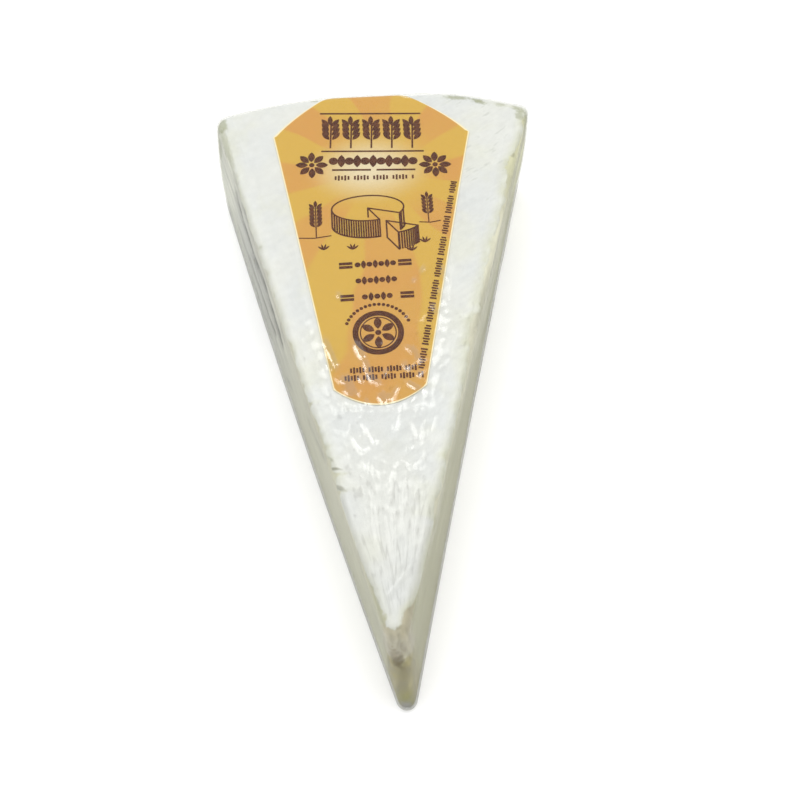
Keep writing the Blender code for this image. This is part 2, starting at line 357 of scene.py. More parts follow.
def patch_plan(ring, grid, first):
    """Spreads a patch's points evenly between its edges, seen from above."""
    across = np.linspace(0, 1, NOSE_STEPS + 1)[None, :, None]
    along = np.linspace(0, 1, WALL_STEPS + 1)[:, None, None]
    left, right = ring[grid[:, 0] - first][:, None], ring[grid[:, -1] - first][:, None]
    nose, heel = ring[grid[0] - first][None], ring[grid[-1] - first][None]
    corners = mix(mix(nose[:, :1], nose[:, -1:], across), mix(heel[:, :1], heel[:, -1:], across), along)
    plan = mix(left, right, across) + mix(nose, heel, along) - corners
    for _ in range(RELAX_ROUNDS):
        inner = plan[:-2, 1:-1] + plan[2:, 1:-1] + plan[1:-1, :-2] + plan[1:-1, 2:]
        plan[1:-1, 1:-1] = inner / 4
    return plan


def grid_faces(grid):
    corners = (grid[:-1, :-1], grid[:-1, 1:], grid[1:, 1:], grid[1:, :-1])
    return np.stack(corners, axis=-1).reshape(-1, 4)

# %% [markdown]
# ### Where on the slice a point is
# Colour and relief depend on where on the slice a point is: how far past the rind's edge, how far from the
# wheel's centre, on which side. These numbers are worked out once for the whole skin and stored on its
# points as attributes, which both Geometry Nodes and the materials can read. The distance inside a straight
# wall needs only one point of that wall and its normal.

# %% Distances
ON_RIGHT_WALL = NOSE_STEPS + 1
ON_LEFT_WALL = AROUND - 1


def wall_distances(points):
    """How far points are inside the straight right wall and the straight left wall of the top."""
    walls = (ON_RIGHT_WALL, ON_LEFT_WALL)
    return [-(points[:, :2] - high.points[index]) @ high.normals[index] for index in walls]


def add_numbers(data, name, values):
    """Stores one number for each point of a mesh."""
    attribute = data.attributes.new(name, "FLOAT", "POINT")
    attribute.data.foreach_set("value", np.asarray(values, np.float32))

# %% [markdown]
# ### The whole skin
# Rings and patches are joined into one closed mesh, so the cheese and the film have no seams. Its faces all
# turn outwards. The climb is the way along the skin from the top of the wall: negative below it, positive
# over the brow and on the flat, so a border drawn with it runs on smoothly from the wall to the top.

# %% The skin
def make_skin(name, offset_cut, offset_top, offset_floor):
    """Makes the closed skin at given distances from the slice, and returns its object and its climb."""
    rings, climbs = side_rings(offset_cut, offset_top, offset_floor)
    count = len(rings)
    ring_numbers = np.arange(count * AROUND).reshape(count, AROUND)
    ring_numbers = np.column_stack([ring_numbers, ring_numbers[:, 0]])
    points = [rings.reshape(-1, 3)]
    climb = [climbs.reshape(-1)]
    faces = [grid_faces(ring_numbers)]
    used = count * AROUND
    for ring, height, turned in ((count - 1, WHEEL_HEIGHT + offset_top, False), (0, offset_floor, True)):
        grid = patch_edges(ring * AROUND)
        plan = patch_plan(rings[ring][:, :2], grid, ring * AROUND)[1:-1, 1:-1].reshape(-1, 2)
        grid[1:-1, 1:-1] = used + np.arange(len(plan)).reshape(WALL_STEPS - 1, NOSE_STEPS - 1)
        heights = np.full(len(plan), height)
        points.append(np.column_stack([plan, heights if turned else lift(plan, heights)]))
        inside = np.minimum(*wall_distances(plan))
        past_brow = inside - CUT_BROW_RADIUS + CUT_BROW_RADIUS * QUARTER_TURN
        climb.append(-WHEEL_HEIGHT + 0 * inside if turned else past_brow)
        faces.append(grid_faces(grid)[:, ::-1] if turned else grid_faces(grid))
        used += len(plan)
    points = np.concatenate(points)
    data = new_mesh(name, points + TO_PART, np.concatenate(faces).tolist())
    data.shade_smooth()
    add_numbers(data, "angle", np.arctan2(points[:, 0], points[:, 1]))
    add_numbers(data, "reach", np.hypot(points[:, 0], points[:, 1]))
    print(name, "points:", len(points), "faces:", len(data.polygons))
    return put_in_scene(name, data), points, np.concatenate(climb)

# %% [markdown]
# ## Trees of nodes
# Relief, wrinkles, rows of marks and all finishes are node trees. Blender builds one node and one link per
# call, which is slow to read, so a small helper adds a node, fills its inputs and gives back an output. Such
# an output can be reckoned with as if it were a number: a plus or a times adds the node that does it.

# %% Node helper
class Wire:
    """An output of a node; each sum with it adds a node."""

    def __init__(self, nodes, socket):
        self.nodes = nodes
        self.socket = socket

    def other(self, name):
        """Another output of the same node."""
        return Wire(self.nodes, self.socket.node.outputs[name])

    def __add__(self, more):
        return self.nodes.math("ADD", self, more)

    def __sub__(self, less):
        return self.nodes.math("SUBTRACT", self, less)

    def __mul__(self, times):
        return self.nodes.math("MULTIPLY", self, times)

    def __truediv__(self, parts):
        return self.nodes.math("DIVIDE", self, parts)

    def __rtruediv__(self, whole):
        return self.nodes.math("DIVIDE", whole, self)

    def __abs__(self):
        return self.nodes.math("ABSOLUTE", self)


class Nodes:
    """Adds nodes to one tree."""

    def __init__(self, tree):
        self.tree = tree

    def fill(self, node, inputs):
        """Fills inputs of a node: a wire makes a link, and any other value is set."""
        for name, value in inputs.items():
            if isinstance(value, Wire):
                self.tree.links.new(value.socket, node.inputs[name])
            else:
                node.inputs[name].default_value = value

    def add(self, kind, inputs=None, out=0, **settings):
        """Adds a node and returns one of its outputs, by name or number."""
        node = self.tree.nodes.new(kind)
        for name, value in settings.items():
            setattr(node, name, value)
        self.fill(node, inputs or {})
        return Wire(self, node.outputs[out])

    def math(self, operation, *values):
        return self.add("ShaderNodeMath", dict(enumerate(values)), operation=operation)

    def vector(self, operation, *values, out=0):
        return self.add("ShaderNodeVectorMath", dict(enumerate(values)), out=out, operation=operation)

    def length(self, vector):
        return self.vector("LENGTH", vector, out="Value")

    def scale(self, vector, times):
        """A vector or a colour times a number."""
        return self.add("ShaderNodeVectorMath", {0: vector, 3: times}, operation="SCALE")

    def turned(self, vector, degrees):
        """A vector turned clockwise, seen from above."""
        angle = -math.radians(degrees)
        return self.add("ShaderNodeVectorRotate", {"Vector": vector, "Angle": angle}, rotation_type="Z_AXIS")

    def combine(self, x=0.0, y=0.0, z=0.0):
        return self.add("ShaderNodeCombineXYZ", {"X": x, "Y": y, "Z": z})

    def noise(self, place, size, detail=2.0, roughness=0.5, seed=0.0, distortion=0.0):
        """Soft noise from 0 to 1 whose blobs are about as large as size, in metres."""
        return self.add("ShaderNodeTexNoise", {
            "Vector": place, "W": seed, "Scale": 1.0 / size, "Detail": detail,
            "Roughness": roughness, "Distortion": distortion,
        }, noise_dimensions="4D")

    def shake(self, *where, **grain):
        """The same noise round 0, from -0.5 to 0.5."""
        return self.noise(*where, **grain) - 0.5

    def ramp(self, value, low, high, from_value=0.0, to_value=1.0, smooth=True):
        """Turns low..high into from_value..to_value, with soft ends."""
        return self.add("ShaderNodeMapRange", {
            "Value": value, "From Min": low, "From Max": high, "To Min": from_value, "To Max": to_value,
        }, interpolation_type="SMOOTHSTEP" if smooth else "LINEAR")

    def fall(self, value, low, high, most=1.0):
        """Falls from its most to 0 between low and high."""
        return self.ramp(value, low, high, most, 0.0)

    def patches(self, place, size, low, high, least=0.0, most=1.0, seed=0.0, detail=3, smooth=True):
        """Patches of noise: its values low..high are spread over least..most."""
        return self.ramp(self.noise(place, size, detail, seed=seed), low, high, least, most, smooth)

    def mix(self, share, a, b):
        """Mixes two numbers; share 0 gives the first."""
        return self.add("ShaderNodeMix", {0: share, 2: a, 3: b})

    def blend(self, share, a, b, mode="MIX"):
        """Blends two colours; share 0 gives the first."""
        return self.add("ShaderNodeMix", {0: share, 6: a, 7: b}, out=2, data_type="RGBA", blend_type=mode)

    def paint(self, shade, *layers):
        """Lays colours over a shade one after another, each with the share it covers."""
        for share, tone in layers:
            shade = self.blend(share, shade, tone)
        return shade

    def bump(self, height, distance, strength):
        """Lets light see small heights that are not in the mesh."""
        inputs = {"Height": height, "Distance": distance, "Strength": strength}
        return self.add("ShaderNodeBump", inputs, out="Normal")

    def number(self, name):
        """Reads a named number of the mesh."""
        if self.tree.type == "GEOMETRY":
            return self.add("GeometryNodeInputNamedAttribute", {"Name": name}, data_type="FLOAT")
        return self.add("ShaderNodeAttribute", out="Fac", attribute_name=name)

# %% [markdown]
# ### Trees that make geometry
# A Geometry Nodes tree is started with named sizes, so they can be changed by their names later, and ends in
# real geometry with its material. A skin's tree also moves each point along its own direction. Running a tree
# gives a plain mesh: the modifier is removed, so the finished piece needs no tree any more.

# %% Geometry trees
def geometry_tree(name, sizes):
    """Starts a Geometry Nodes tree with a mesh and named sizes as inputs."""
    tree = bpy.data.node_groups.new(name, "GeometryNodeTree")
    tree.interface.new_socket("Geometry", in_out="INPUT", socket_type="NodeSocketGeometry")
    for label, value in sizes.items():
        socket = tree.interface.new_socket(label, in_out="INPUT", socket_type="NodeSocketFloat")
        socket.default_value = value
    tree.interface.new_socket("Finish", in_out="INPUT", socket_type="NodeSocketMaterial")
    tree.interface.new_socket("Geometry", in_out="OUTPUT", socket_type="NodeSocketGeometry")
    nodes = Nodes(tree)
    outputs = tree.nodes.new("NodeGroupInput").outputs
    return nodes, {socket.name: Wire(nodes, socket) for socket in outputs}


def end_tree(nodes, given, geometry):
    """Ends a tree in real geometry with its material."""
    real = nodes.add("GeometryNodeRealizeInstances", {"Geometry": geometry})
    dressed = nodes.add("GeometryNodeSetMaterial", {"Geometry": real, "Material": given["Finish"]})
    nodes.fill(nodes.tree.nodes.new("NodeGroupOutput"), {"Geometry": dressed})
    return nodes


def end_skin_tree(nodes, given, name, value, height):
    """Stores a number on a skin's points, moves them outwards by a height, and ends the tree."""
    stored = nodes.add("GeometryNodeStoreNamedAttribute", {
        "Geometry": given["Geometry"], "Name": name, "Value": value,
    }, data_type="FLOAT", domain="POINT")
    move = nodes.scale(nodes.add("GeometryNodeInputNormal"), height)
    return end_tree(nodes, given, nodes.add("GeometryNodeSetPosition", {"Geometry": stored, "Offset": move}))


def run_tree(piece, nodes, finish):
    """Runs a tree on an object and turns the result into its plain mesh."""
    modifier = piece.modifiers.new(nodes.tree.name, "NODES")
    modifier.node_group = nodes.tree
    for item in nodes.tree.interface.items_tree:
        if item.name == "Finish":
            modifier[item.identifier] = finish
    graph = bpy.context.evaluated_depsgraph_get()
    data = bpy.data.meshes.new_from_object(piece.evaluated_get(graph), depsgraph=graph)
    data.name = piece.name
    old = piece.data
    piece.modifiers.remove(modifier)
    piece.data = data
    bpy.data.meshes.remove(old)
    print(nodes.tree.name, "made", len(data.polygons), "faces for", piece.name)

# %% [markdown]
# ### Trees that make finishes
# Every finish starts from the Object coordinates, so its grain stays on the piece when the piece moves.
# Colours are written as on a screen, because they were compared with the photograph there, and are turned
# into the linear values that light is reckoned with.

# %% Finishes
def start_finish(name):
    """Starts a material, and returns it with its tree helper, its shader and the Object coordinates."""
    material = bpy.data.materials.new(name)
    material.use_nodes = True
    nodes = Nodes(material.node_tree)
    place = nodes.add("ShaderNodeTexCoord", out="Object")
    return material, nodes, material.node_tree.nodes["Principled BSDF"], place


def colour(red, green, blue):
    """A colour given as on a screen, 0 to 255, as the linear values that shaders work with."""
    screen = np.array([red, green, blue]) / 255
    linear = np.where(screen <= 0.04045, screen / 12.92, ((screen + 0.055) / 1.055) ** 2.4)
    return (*linear.tolist(), 1.0)

# %% [markdown]
# ## The cheese
# ### Where the rind ends
# The knife leaves the rind with a ragged edge, and it stays near the top of the cut faces: on the left a
# little way in from the edge, on the right just over it, with a few notches where crumbs broke away. The
# edge is written as two short lists, its distance past the top of the wall at distances from the wheel's
# centre, and each notch or flap is a narrow bump on that line. The rind also covers the heel and the
# underside, so the white begins where any of these borders is passed.

# %% Rind border
LEFT_EDGE = [
    (16, 1.9), (20, 1.5), (26, 1.2), (31, -0.3), (36, -0.8), (44, -0.8), (48, -0.9), (52, 0.3), (56, 0.8),
    (68, 0.8), (71, 0.0), (78, 0.0), (85, 0.5), (91, 1.0), (97, -0.1), (103, 0.8), (110, 0.2), (116, 0.2),
    (121.5, 0.7), (127, -0.1), (132, 0.2), (138, 0.5), (147, 1.7), (160, 2.5),
]
RIGHT_EDGE = [
    (16, 2.6), (18.5, 2.5), (20.6, 1.9), (24, 0.0), (29, -0.8), (38, -0.8), (42, 0.5), (46, 1.3), (51, 0.0),
    (60, 0.3), (69, 0.4), (80, 0.8), (90, 2.1), (94, 2.5), (101, 1.8), (107, 2.2), (114, 1.9), (117, 2.3),
    (128, 1.6), (137, 2.0), (142, 3.3), (145, 2.3), (150, 1.0), (154, 0.5), (160, 1.6),
]
LEFT_NICKS = [
    (32.4, 0.9, 1.5), (50.2, 1.7, 0.4), (54.4, 2.4, 0.45), (58.5, 0.7, 0.5), (61.8, 0.6, 0.5),
    (73.8, 1.8, 0.4), (79.0, 0.9, 0.6), (93.0, -0.9, 1.6), (112.0, 0.9, 0.8),
]
RIGHT_NICKS = [(41.5, -1.6, 1.2), (57.5, 1.2, 1.3), (88.0, 0.8, 1.1), (97.5, -1.2, 1.3), (131.0, -0.9, 1.6)]
RIND_AT_FOOT = 1.3 * MM
RIND_AT_HEEL = 1.2 * MM


def edge_line(reach, knots, nicks):
    """How far past the top of the wall the white begins, at distances from the wheel's centre."""
    reach = reach / MM
    edge = np.interp(reach, [knot[0] for knot in knots], [knot[1] for knot in knots])
    for centre, depth, width in nicks:
        edge = edge + depth * np.exp(-((reach - centre) / width) ** 2)
    return edge * MM


def bloom_distance(points, climb):
    """How far points of the skin are inside the white, negative on the bare paste."""
    to_right, to_left = wall_distances(points)
    right_side = to_right < to_left
    left_edge = edge_line(points[:, 1], LEFT_EDGE, LEFT_NICKS)
    right_edge = edge_line(points[:, 1], RIGHT_EDGE, RIGHT_NICKS)
    past_top = climb - np.where(right_side, right_edge, left_edge)
    past_foot = RIND_AT_FOOT - points[:, 2]
    right_end = high.points[NOSE_STEPS + WALL_STEPS]
    left_end = high.points[AROUND - WALL_STEPS]
    end = np.where(right_side, np.linalg.norm(right_end), np.linalg.norm(left_end))
    past_heel = np.hypot(points[:, 0], points[:, 1]) - end + RIND_AT_HEEL
    return np.maximum(np.maximum(past_top, past_foot), past_heel)

# %% [markdown]
# ### Creases in the cut face
# Below the rind on the left, the soft paste has creased into long thin grooves that run with the edge. Each
# one is a line of heights along the wall. They are pressed into the skin here and their depth is stored,
# because the finish also paints shade into the grooves.

# %% Creases
LEFT_CREASES = [
    ([(118, 23.9), (124, 22.9), (128, 24.0), (134, 24.2), (137, 25.0), (140, 25.9), (147, 29.5)], 1.5, 0.8),
    ([(95, 21.9), (100, 22.5), (104, 23.1), (109, 24.0), (114, 25.1), (118, 24.3), (128, 22.1)], 1.6, 1.2),
    ([(101, 18.3), (108, 15.5), (118, 15.3), (125, 14.7), (133, 16.1)], 1.4, 0.75),
    ([(108, 2.4), (119, 3.4), (124, 5.6), (134, 8.0)], 1.3, 0.45),
    ([(128, 30.4), (133, 30.8), (138, 30.2)], 0.9, 0.6),
    ([(92, 25.8), (98, 27.8), (104, 28.9)], 0.9, 0.5),
    ([(86, 13.0), (92, 11.0), (97, 8.0)], 1.1, 0.7),
    ([(58, 28.2), (65, 26.0), (68, 24.5), (72, 23.4), (79, 22.6)], 2.3, 0.26),
    ([(140, 24.2), (148, 23.4), (158, 21.5)], 1.3, 0.35),
    ([(108, 12.0), (126, 12.9), (146, 12.6)], 1.4, 0.3),
]
CREASE_END = 5.0
CREASE_REACH = 1.5 * MM


def crease_depth(points):
    """Depth of the grooves at points of the skin, in metres."""
    on_left = wall_distances(points)[1] < CREASE_REACH
    along, height = points[:, 1] / MM, points[:, 2] / MM
    depth = np.zeros(len(points))
    for line, width, deep in LEFT_CREASES:
        starts, heights = zip(*line)
        across = (height - np.interp(along, starts, heights)) / width
        ends = window(along, starts[0], starts[-1], CREASE_END, CREASE_END)
        depth = np.maximum(depth, deep * ends * np.exp(-across ** 2))
    return depth * on_left * MM

# %% [markdown]
# ### The skin's relief
# The white rind is a thin downy felt on the softer paste: it stands a little above it, has a lip where it
# was cut, and its edge is torn into small irregular tongues. Sculpting this by hand would take hours, and a
# rule does it well, so Geometry Nodes does it: the stored distance is disturbed by noise, turned into a
# clear step, and each point moves along its own direction. The tree also stores this torn distance, and
# the finish reads that, so the colour and the step can't come apart.

# %% Rind relief
def rind_relief_tree():
    nodes, given = geometry_tree("rind_relief", {
        "Rind Depth": 0.18 * MM, "Ragged Edge": 1.7 * MM, "Ragged Size": 2.9 * MM, "Lip": 0.03 * MM,
        "Down Height": 0.10 * MM, "Down Size": 5.0 * MM, "Paste Height": 0.22 * MM, "Paste Size": 3.0 * MM,
        "Seed": 3.0,
    })
    place = nodes.add("GeometryNodeInputPosition")
    seed = given["Seed"]
    ragged = nodes.shake(place, given["Ragged Size"], detail=4, roughness=0.6, seed=seed)
    edge = ragged * given["Ragged Edge"] * 2.0 + nodes.number("bloom")
    white = nodes.ramp(edge, -0.10 * MM, 0.25 * MM)
    lip = nodes.ramp(edge, 0.0, 0.5 * MM) * nodes.fall(edge, 0.5 * MM, 1.6 * MM) * given["Lip"]
    down = nodes.shake(place, given["Down Size"], detail=5, roughness=0.55, seed=seed) * given["Down Height"]
    paste = nodes.shake(place, given["Paste Size"], detail=3, seed=seed) * given["Paste Height"]
    height = nodes.mix(white, paste - given["Rind Depth"], down + lip) - nodes.number("crease")
    return end_skin_tree(nodes, given, "torn", edge, height)

# %% [markdown]
# ### The finish of the cheese
# One material carries both the rind and the paste, because they are one body. The rind is not plain white:
# it has faint blue-grey and cream clouds, turns cream at its torn edge and olive where it is thin. Under the
# film the paste looks grey-green, greyer near the heel and browner at the nose, where the slice has dried.
# Each of these is a blend of two colours steered by noise or by a stored distance.

# %% Cheese colours
RIND_WHITE = colour(215, 216, 212)
RIND_CLOUD = colour(211, 213, 212)
RIND_CREAM = colour(213, 214, 201)
RIND_FRINGE = colour(201, 202, 184)
RIND_OLIVE = colour(184, 185, 160)
PASTE_CORNER = colour(206, 208, 197)
PASTE_HEEL = colour(181, 183, 178)
PASTE_MIDDLE = colour(187, 187, 166)
PASTE_NOSE = colour(179, 179, 154)
PASTE_RIGHT = colour(232, 230, 212)
PASTE_RIGHT_HEEL = colour(230, 227, 189)
PASTE_TOWARDS_TOP = colour(202, 200, 180)
# Painted shade: the eyes are small holes that the mesh does not have, so they are coloured darker.
PASTE_EYE_SHADE = colour(138, 136, 112)
EYE_SPACING = 8 * MM
EYES_LEFT_OUT = 0.55
NOSE_TAUPE = colour(174, 166, 146)
NOSE_KHAKI = colour(138, 130, 82)
NOSE_BROWN = colour(92, 77, 26)
NOSE_OLIVE = colour(114, 110, 16)
FLECK_OLIVE = colour(150, 153, 124)
FLECK_GREY = colour(188, 190, 184)
# Olive paste with painted shade, for the narrow torn slits.
TEAR_OLIVE_AND_SHADE = colour(112, 112, 88)
RIND_FLECKS = [
    (24.0, 77.3, 33.6, 0.8, (4.0, 1.0, 0.9), -8, 0.80), (29.8, 75.6, 33.8, 0.8, (2.6, 0.9, 0.9), -26, 0.90),
    (35.8, 73.8, 33.8, 0.6, (1.9, 1.0, 0.9), -12, 0.55), (40.6, 71.6, 33.6, 0.8, (2.4, 1.0, 0.9), -36, 0.80),
    (40.5, 69.5, 33.9, 1.1, (1.0, 1.4, 1.0), 12, 0.60), (42.6, 69.0, 31.0, 1.4, (1.0, 1.6, 1.9), -15, 0.60),
    (-15.3, 78.9, 33.4, 0.7, (1.4, 1.0, 1.0), 8, 0.95), (-40.6, 72.0, 33.0, 1.5, (1.0, 1.9, 1.6), 15, 0.70),
    (-39.6, 64.6, 33.0, 1.1, (0.9, 5.5, 1.6), 15, 0.42), (-33.7, 34.4, 34.0, 0.5, (1.0, 1.8, 3.0), 20, 0.60),
    (-41.6, 70.6, 27.0, 2.4, (1.0, 1.3, 1.8), 15, 0.60),
    (-32.4, 31.6, 34.0, 0.4, (1.0, 1.6, 3.0), -30, 0.60), (-30.6, 30.3, 34.0, 0.4, (1.6, 1.0, 3.0), 20, 0.50),
]
BORDER_TEARS = [
    (-19.9, -15.6, 1.4, 0.24, -21, 0.75), (-13.6, -33.8, 1.7, 0.34, -16, 0.62),
    (-12.6, -38.6, 1.8, 0.50, -38, 0.50), (-14.4, -31.2, 1.2, 0.30, -50, 0.30),
    (-24.2, -9.8, 1.4, 0.24, 84, 0.75),
]
TEAR_HEIGHT = 33.8
TEAR_DEPTH = 2.2
STROKE_TURN = 34
NOSE_COLUMN = colour(118, 109, 60)
NOSE_GREY = colour(120, 119, 112)
NOSE_DARK_SPOTS = [
    ((-0.4, -79.0, 15.5), 1.3, 0.6, 0.8, (0.9, 6.0, 4.2), 0.55, NOSE_COLUMN),
    ((-1.7, -77.0, 23.4), 1.5, 0.8, 1.8, (0.9, 1.2, 1.6), 0.85, NOSE_BROWN),
    ((-2.6, -76.2, 26.4), 1.1, 0.8, 1.8, (0.9, 1.2, 1.8), 0.55, NOSE_BROWN),
    ((-3.7, -75.4, 29.6), 0.8, 0.8, 1.8, (0.9, 1.2, 2.0), 0.40, NOSE_BROWN),
    ((0.2, -77.6, 20.0), 0.8, 0.8, 1.8, (0.9, 1.2, 1.8), 0.40, NOSE_BROWN),
]
# Painted shade: the grey laid into the grooves and along the foot, where little light reaches.
PAINTED_SHADE_GREY = colour(74, 75, 68)

# %% [markdown]
# ### A soft spot
# Flecks, tears and dark spots are each one soft spot: the distance from a point, shaken by noise so its edge
# is irregular. Squeezing the space before the distance is taken makes a round spot long or flat. Painting
# them on a picture would tie them to one size of picture; a spot stays sharp at any distance.

# %% Soft spots
def spot(nodes, place, centre, size, softness, wobble, stretch, turn=0.0):
    """1 inside a blob round a point in millimetres, 0 outside it; it can be turned seen from above."""
    offset = nodes.vector("SUBTRACT", place, tuple(value * MM for value in centre))
    offset = nodes.vector("DIVIDE", nodes.turned(offset, turn), stretch)
    gap = nodes.shake(place, size * 0.7 * MM, detail=3) * (wobble * 2 * MM) + nodes.length(offset)
    return nodes.fall(gap, (size - softness) * MM, (size + softness) * MM)

# %% [markdown]
# ### The white rind
# The clouds and the cream are broad, the brushed strokes are fine and run aslant on the right half, where the
# slice was handled, and scuffs lie near the right heel. The fringe beside the cut is cream where the mould is
# thin. The few olive flecks and torn slits stand where a real rind shows them: at the heel and the cut edges;
# the slits also carry painted shade.

# %% Rind colour
def rind_colour(nodes, place, reach):
    bloom, angle = nodes.number("bloom"), nodes.number("angle")
    on_right = nodes.ramp(angle, -0.02, 0.02, 0.5, 1.0)
    rim = nodes.fall(bloom, 0.3 * MM, 3.6 * MM) * on_right
    thin = nodes.fall(bloom, 0.0, 1.8 * MM, 0.55) * nodes.ramp(reach, 19 * MM, 27 * MM, 0.25, 1.0)
    shade = nodes.paint(
        RIND_WHITE,
        (nodes.patches(place, 16 * MM, 0.40, 0.64, seed=1.0), RIND_CLOUD),
        (nodes.patches(place, 9 * MM, 0.50, 0.68, 0.0, 0.45, seed=5.0), RIND_CREAM),
        (rim * nodes.patches(place, 4.0 * MM, 0.36, 0.62, 0.5, 1.0, seed=2.0), RIND_FRINGE),
        (thin * nodes.patches(place, 2.6 * MM, 0.42, 0.66, seed=8.0), RIND_OLIVE),
    )
    strokes = nodes.vector("MULTIPLY", nodes.turned(place, STROKE_TURN), (0.25, 1.0, 1.0))
    strokes = nodes.noise(strokes, 1.2 * MM, detail=3, seed=21.0)
    brushed = nodes.mix(on_right, 1.0, nodes.ramp(strokes, 0.35, 0.65, 0.955, 1.02, smooth=False))
    shade = nodes.scale(shade, brushed * nodes.ramp(reach, 30 * MM, 66 * MM, 0.92, 1.0))
    near_heel = nodes.ramp(reach, 118 * MM, 138 * MM) * nodes.ramp(angle, 0.10, 0.16)
    layers = [(nodes.ramp(strokes, 0.58, 0.70, 0.0, 0.60) * near_heel, FLECK_GREY)]
    # Torn slits: the olive of the paste, darkened with painted shade inside the narrow slit.
    for x, y, half, thick, turn, share in BORDER_TEARS:
        stretch = (half / thick, 1.0, TEAR_DEPTH / thick)
        tear = spot(nodes, place, (x, y, TEAR_HEIGHT), thick, 0.6 * thick, 0.5 * thick, stretch, turn)
        layers.append((tear * share, TEAR_OLIVE_AND_SHADE))
    return nodes.paint(shade, *layers)

# %% [markdown]
# ### The paste of the cut faces
# A knife drags soft paste along, so light and dark bands run the length of the cut, stronger near the heel,
# and the paste turns lighter towards the top of each cut. The small round eyes are Voronoi cells: about half
# of them are chosen by the red of the cell's own colour, and their darker colour is painted shade of small
# holes.

# %% Paste colour
def paste_streaks(nodes, reach, height, side):
    """Light and dark bands that run the length of a cut face."""
    band = nodes.combine(reach / (30 * MM), height / (3.2 * MM), side * 9.0)
    change = nodes.shake(band, 1.0, detail=4, roughness=0.6, seed=15.0)
    strength = nodes.ramp(reach, 85 * MM, 110 * MM, 0.7, 1.9)
    fine = nodes.vector("MULTIPLY", band, (3.0, 3.5, 1.0))
    return change * strength + nodes.patches(fine, 1.0, 0.3, 0.7, 0.92, 1.02, seed=31.0, smooth=False)


def paste_colour(nodes, place, reach, height):
    to_heel = nodes.ramp(reach, 70 * MM, 130 * MM)
    side = nodes.ramp(nodes.number("angle"), -0.02, 0.02)
    shade = nodes.paint(
        PASTE_MIDDLE, (to_heel, PASTE_HEEL), (nodes.ramp(reach, 136 * MM, 156 * MM), PASTE_CORNER),
        (nodes.fall(reach, 24 * MM, 55 * MM), PASTE_NOSE),
    )
    shade = nodes.blend(side, shade, nodes.blend(to_heel, PASTE_RIGHT, PASTE_RIGHT_HEEL), mode="MULTIPLY")
    # Lighter towards the top of each cut face, more so on the right, where it begins lower down towards the
    # heel.
    level = nodes.shake(place, 5 * MM, detail=4, roughness=0.6, seed=61.0) * (12 * MM) + height
    right_foot = nodes.ramp(reach, 70 * MM, 118 * MM, 27 * MM, 17 * MM, smooth=False)
    towards_top = nodes.ramp(level, nodes.mix(side, 23 * MM, right_foot), 32 * MM, smooth=False)
    towards_top = towards_top * (side * 0.45 + 0.50) * nodes.ramp(reach, 20 * MM, 36 * MM)
    towards_top = towards_top * nodes.ramp(reach, 125 * MM, 145 * MM, 1.0, 0.3)
    shade = nodes.scale(nodes.blend(towards_top, shade, PASTE_TOWARDS_TOP), paste_streaks(nodes, reach, height, side))
    # The eyes: spots of painted shade for small holes in the paste.
    gap = nodes.add("ShaderNodeTexVoronoi", {"Vector": place, "Scale": 1 / EYE_SPACING}, out="Distance")
    red = nodes.add("ShaderNodeSeparateColor", {0: gap.other("Color")})
    eyes = nodes.fall(gap, 0.07, 0.13, 0.55) * nodes.math("GREATER_THAN", red, EYES_LEFT_OUT)
    return nodes.blend(eyes, shade, PASTE_EYE_SHADE)

# %% [markdown]
# ### The nose
# The nose has its own zones, one over the other: taupe under the rind, khaki, olive at the foot, and darker
# brown spots. Their borders are shaken by one noise, so that none is a straight line.

# %% Nose colour
def nose_colour(nodes, place, reach, height, shade):
    """Lays the zones, drips and dark spots of the nose over the colour of the paste."""
    shake = nodes.shake(place, 4 * MM, detail=4, roughness=0.6)
    near = shake * (5 * MM) + reach
    level = shake * (-6 * MM) + height
    on_right = nodes.ramp(nodes.number("angle"), 0.0, 0.06)
    front = near - nodes.ramp(height, 30 * MM, 33 * MM, 0.0, 6 * MM) * on_right
    front = nodes.fall(front, 16.5 * MM, 20.5 * MM, 0.75) * nodes.ramp(level, 21.5 * MM, 25.5 * MM)
    khaki = nodes.fall(near, 12.5 * MM, 18.5 * MM) * nodes.fall(level, 23.2 * MM, 24.6 * MM)
    foot = nodes.fall(near, 8.5 * MM, 12.5 * MM) * nodes.fall(level, 8.5 * MM, 13.0 * MM)
    shade = nodes.paint(shade, (front, NOSE_TAUPE), (khaki, NOSE_KHAKI), (foot, NOSE_OLIVE))
    drips = nodes.shake(nodes.vector("MULTIPLY", place, (1.0, 1.0, 0.12)), 1.3 * MM, seed=41.0)
    shade = nodes.scale(shade, drips * nodes.fall(reach, 15 * MM, 20 * MM, 1.3) + 1.0)
    dark_spots = [(spot(nodes, place, *shape) * share, tone) for *shape, share, tone in NOSE_DARK_SPOTS]
    tip = nodes.fall(reach, 8.2 * MM, 9.4 * MM) * nodes.fall(height, 3.5 * MM, 5.5 * MM)
    return nodes.paint(shade, *dark_spots, (tip, NOSE_GREY))
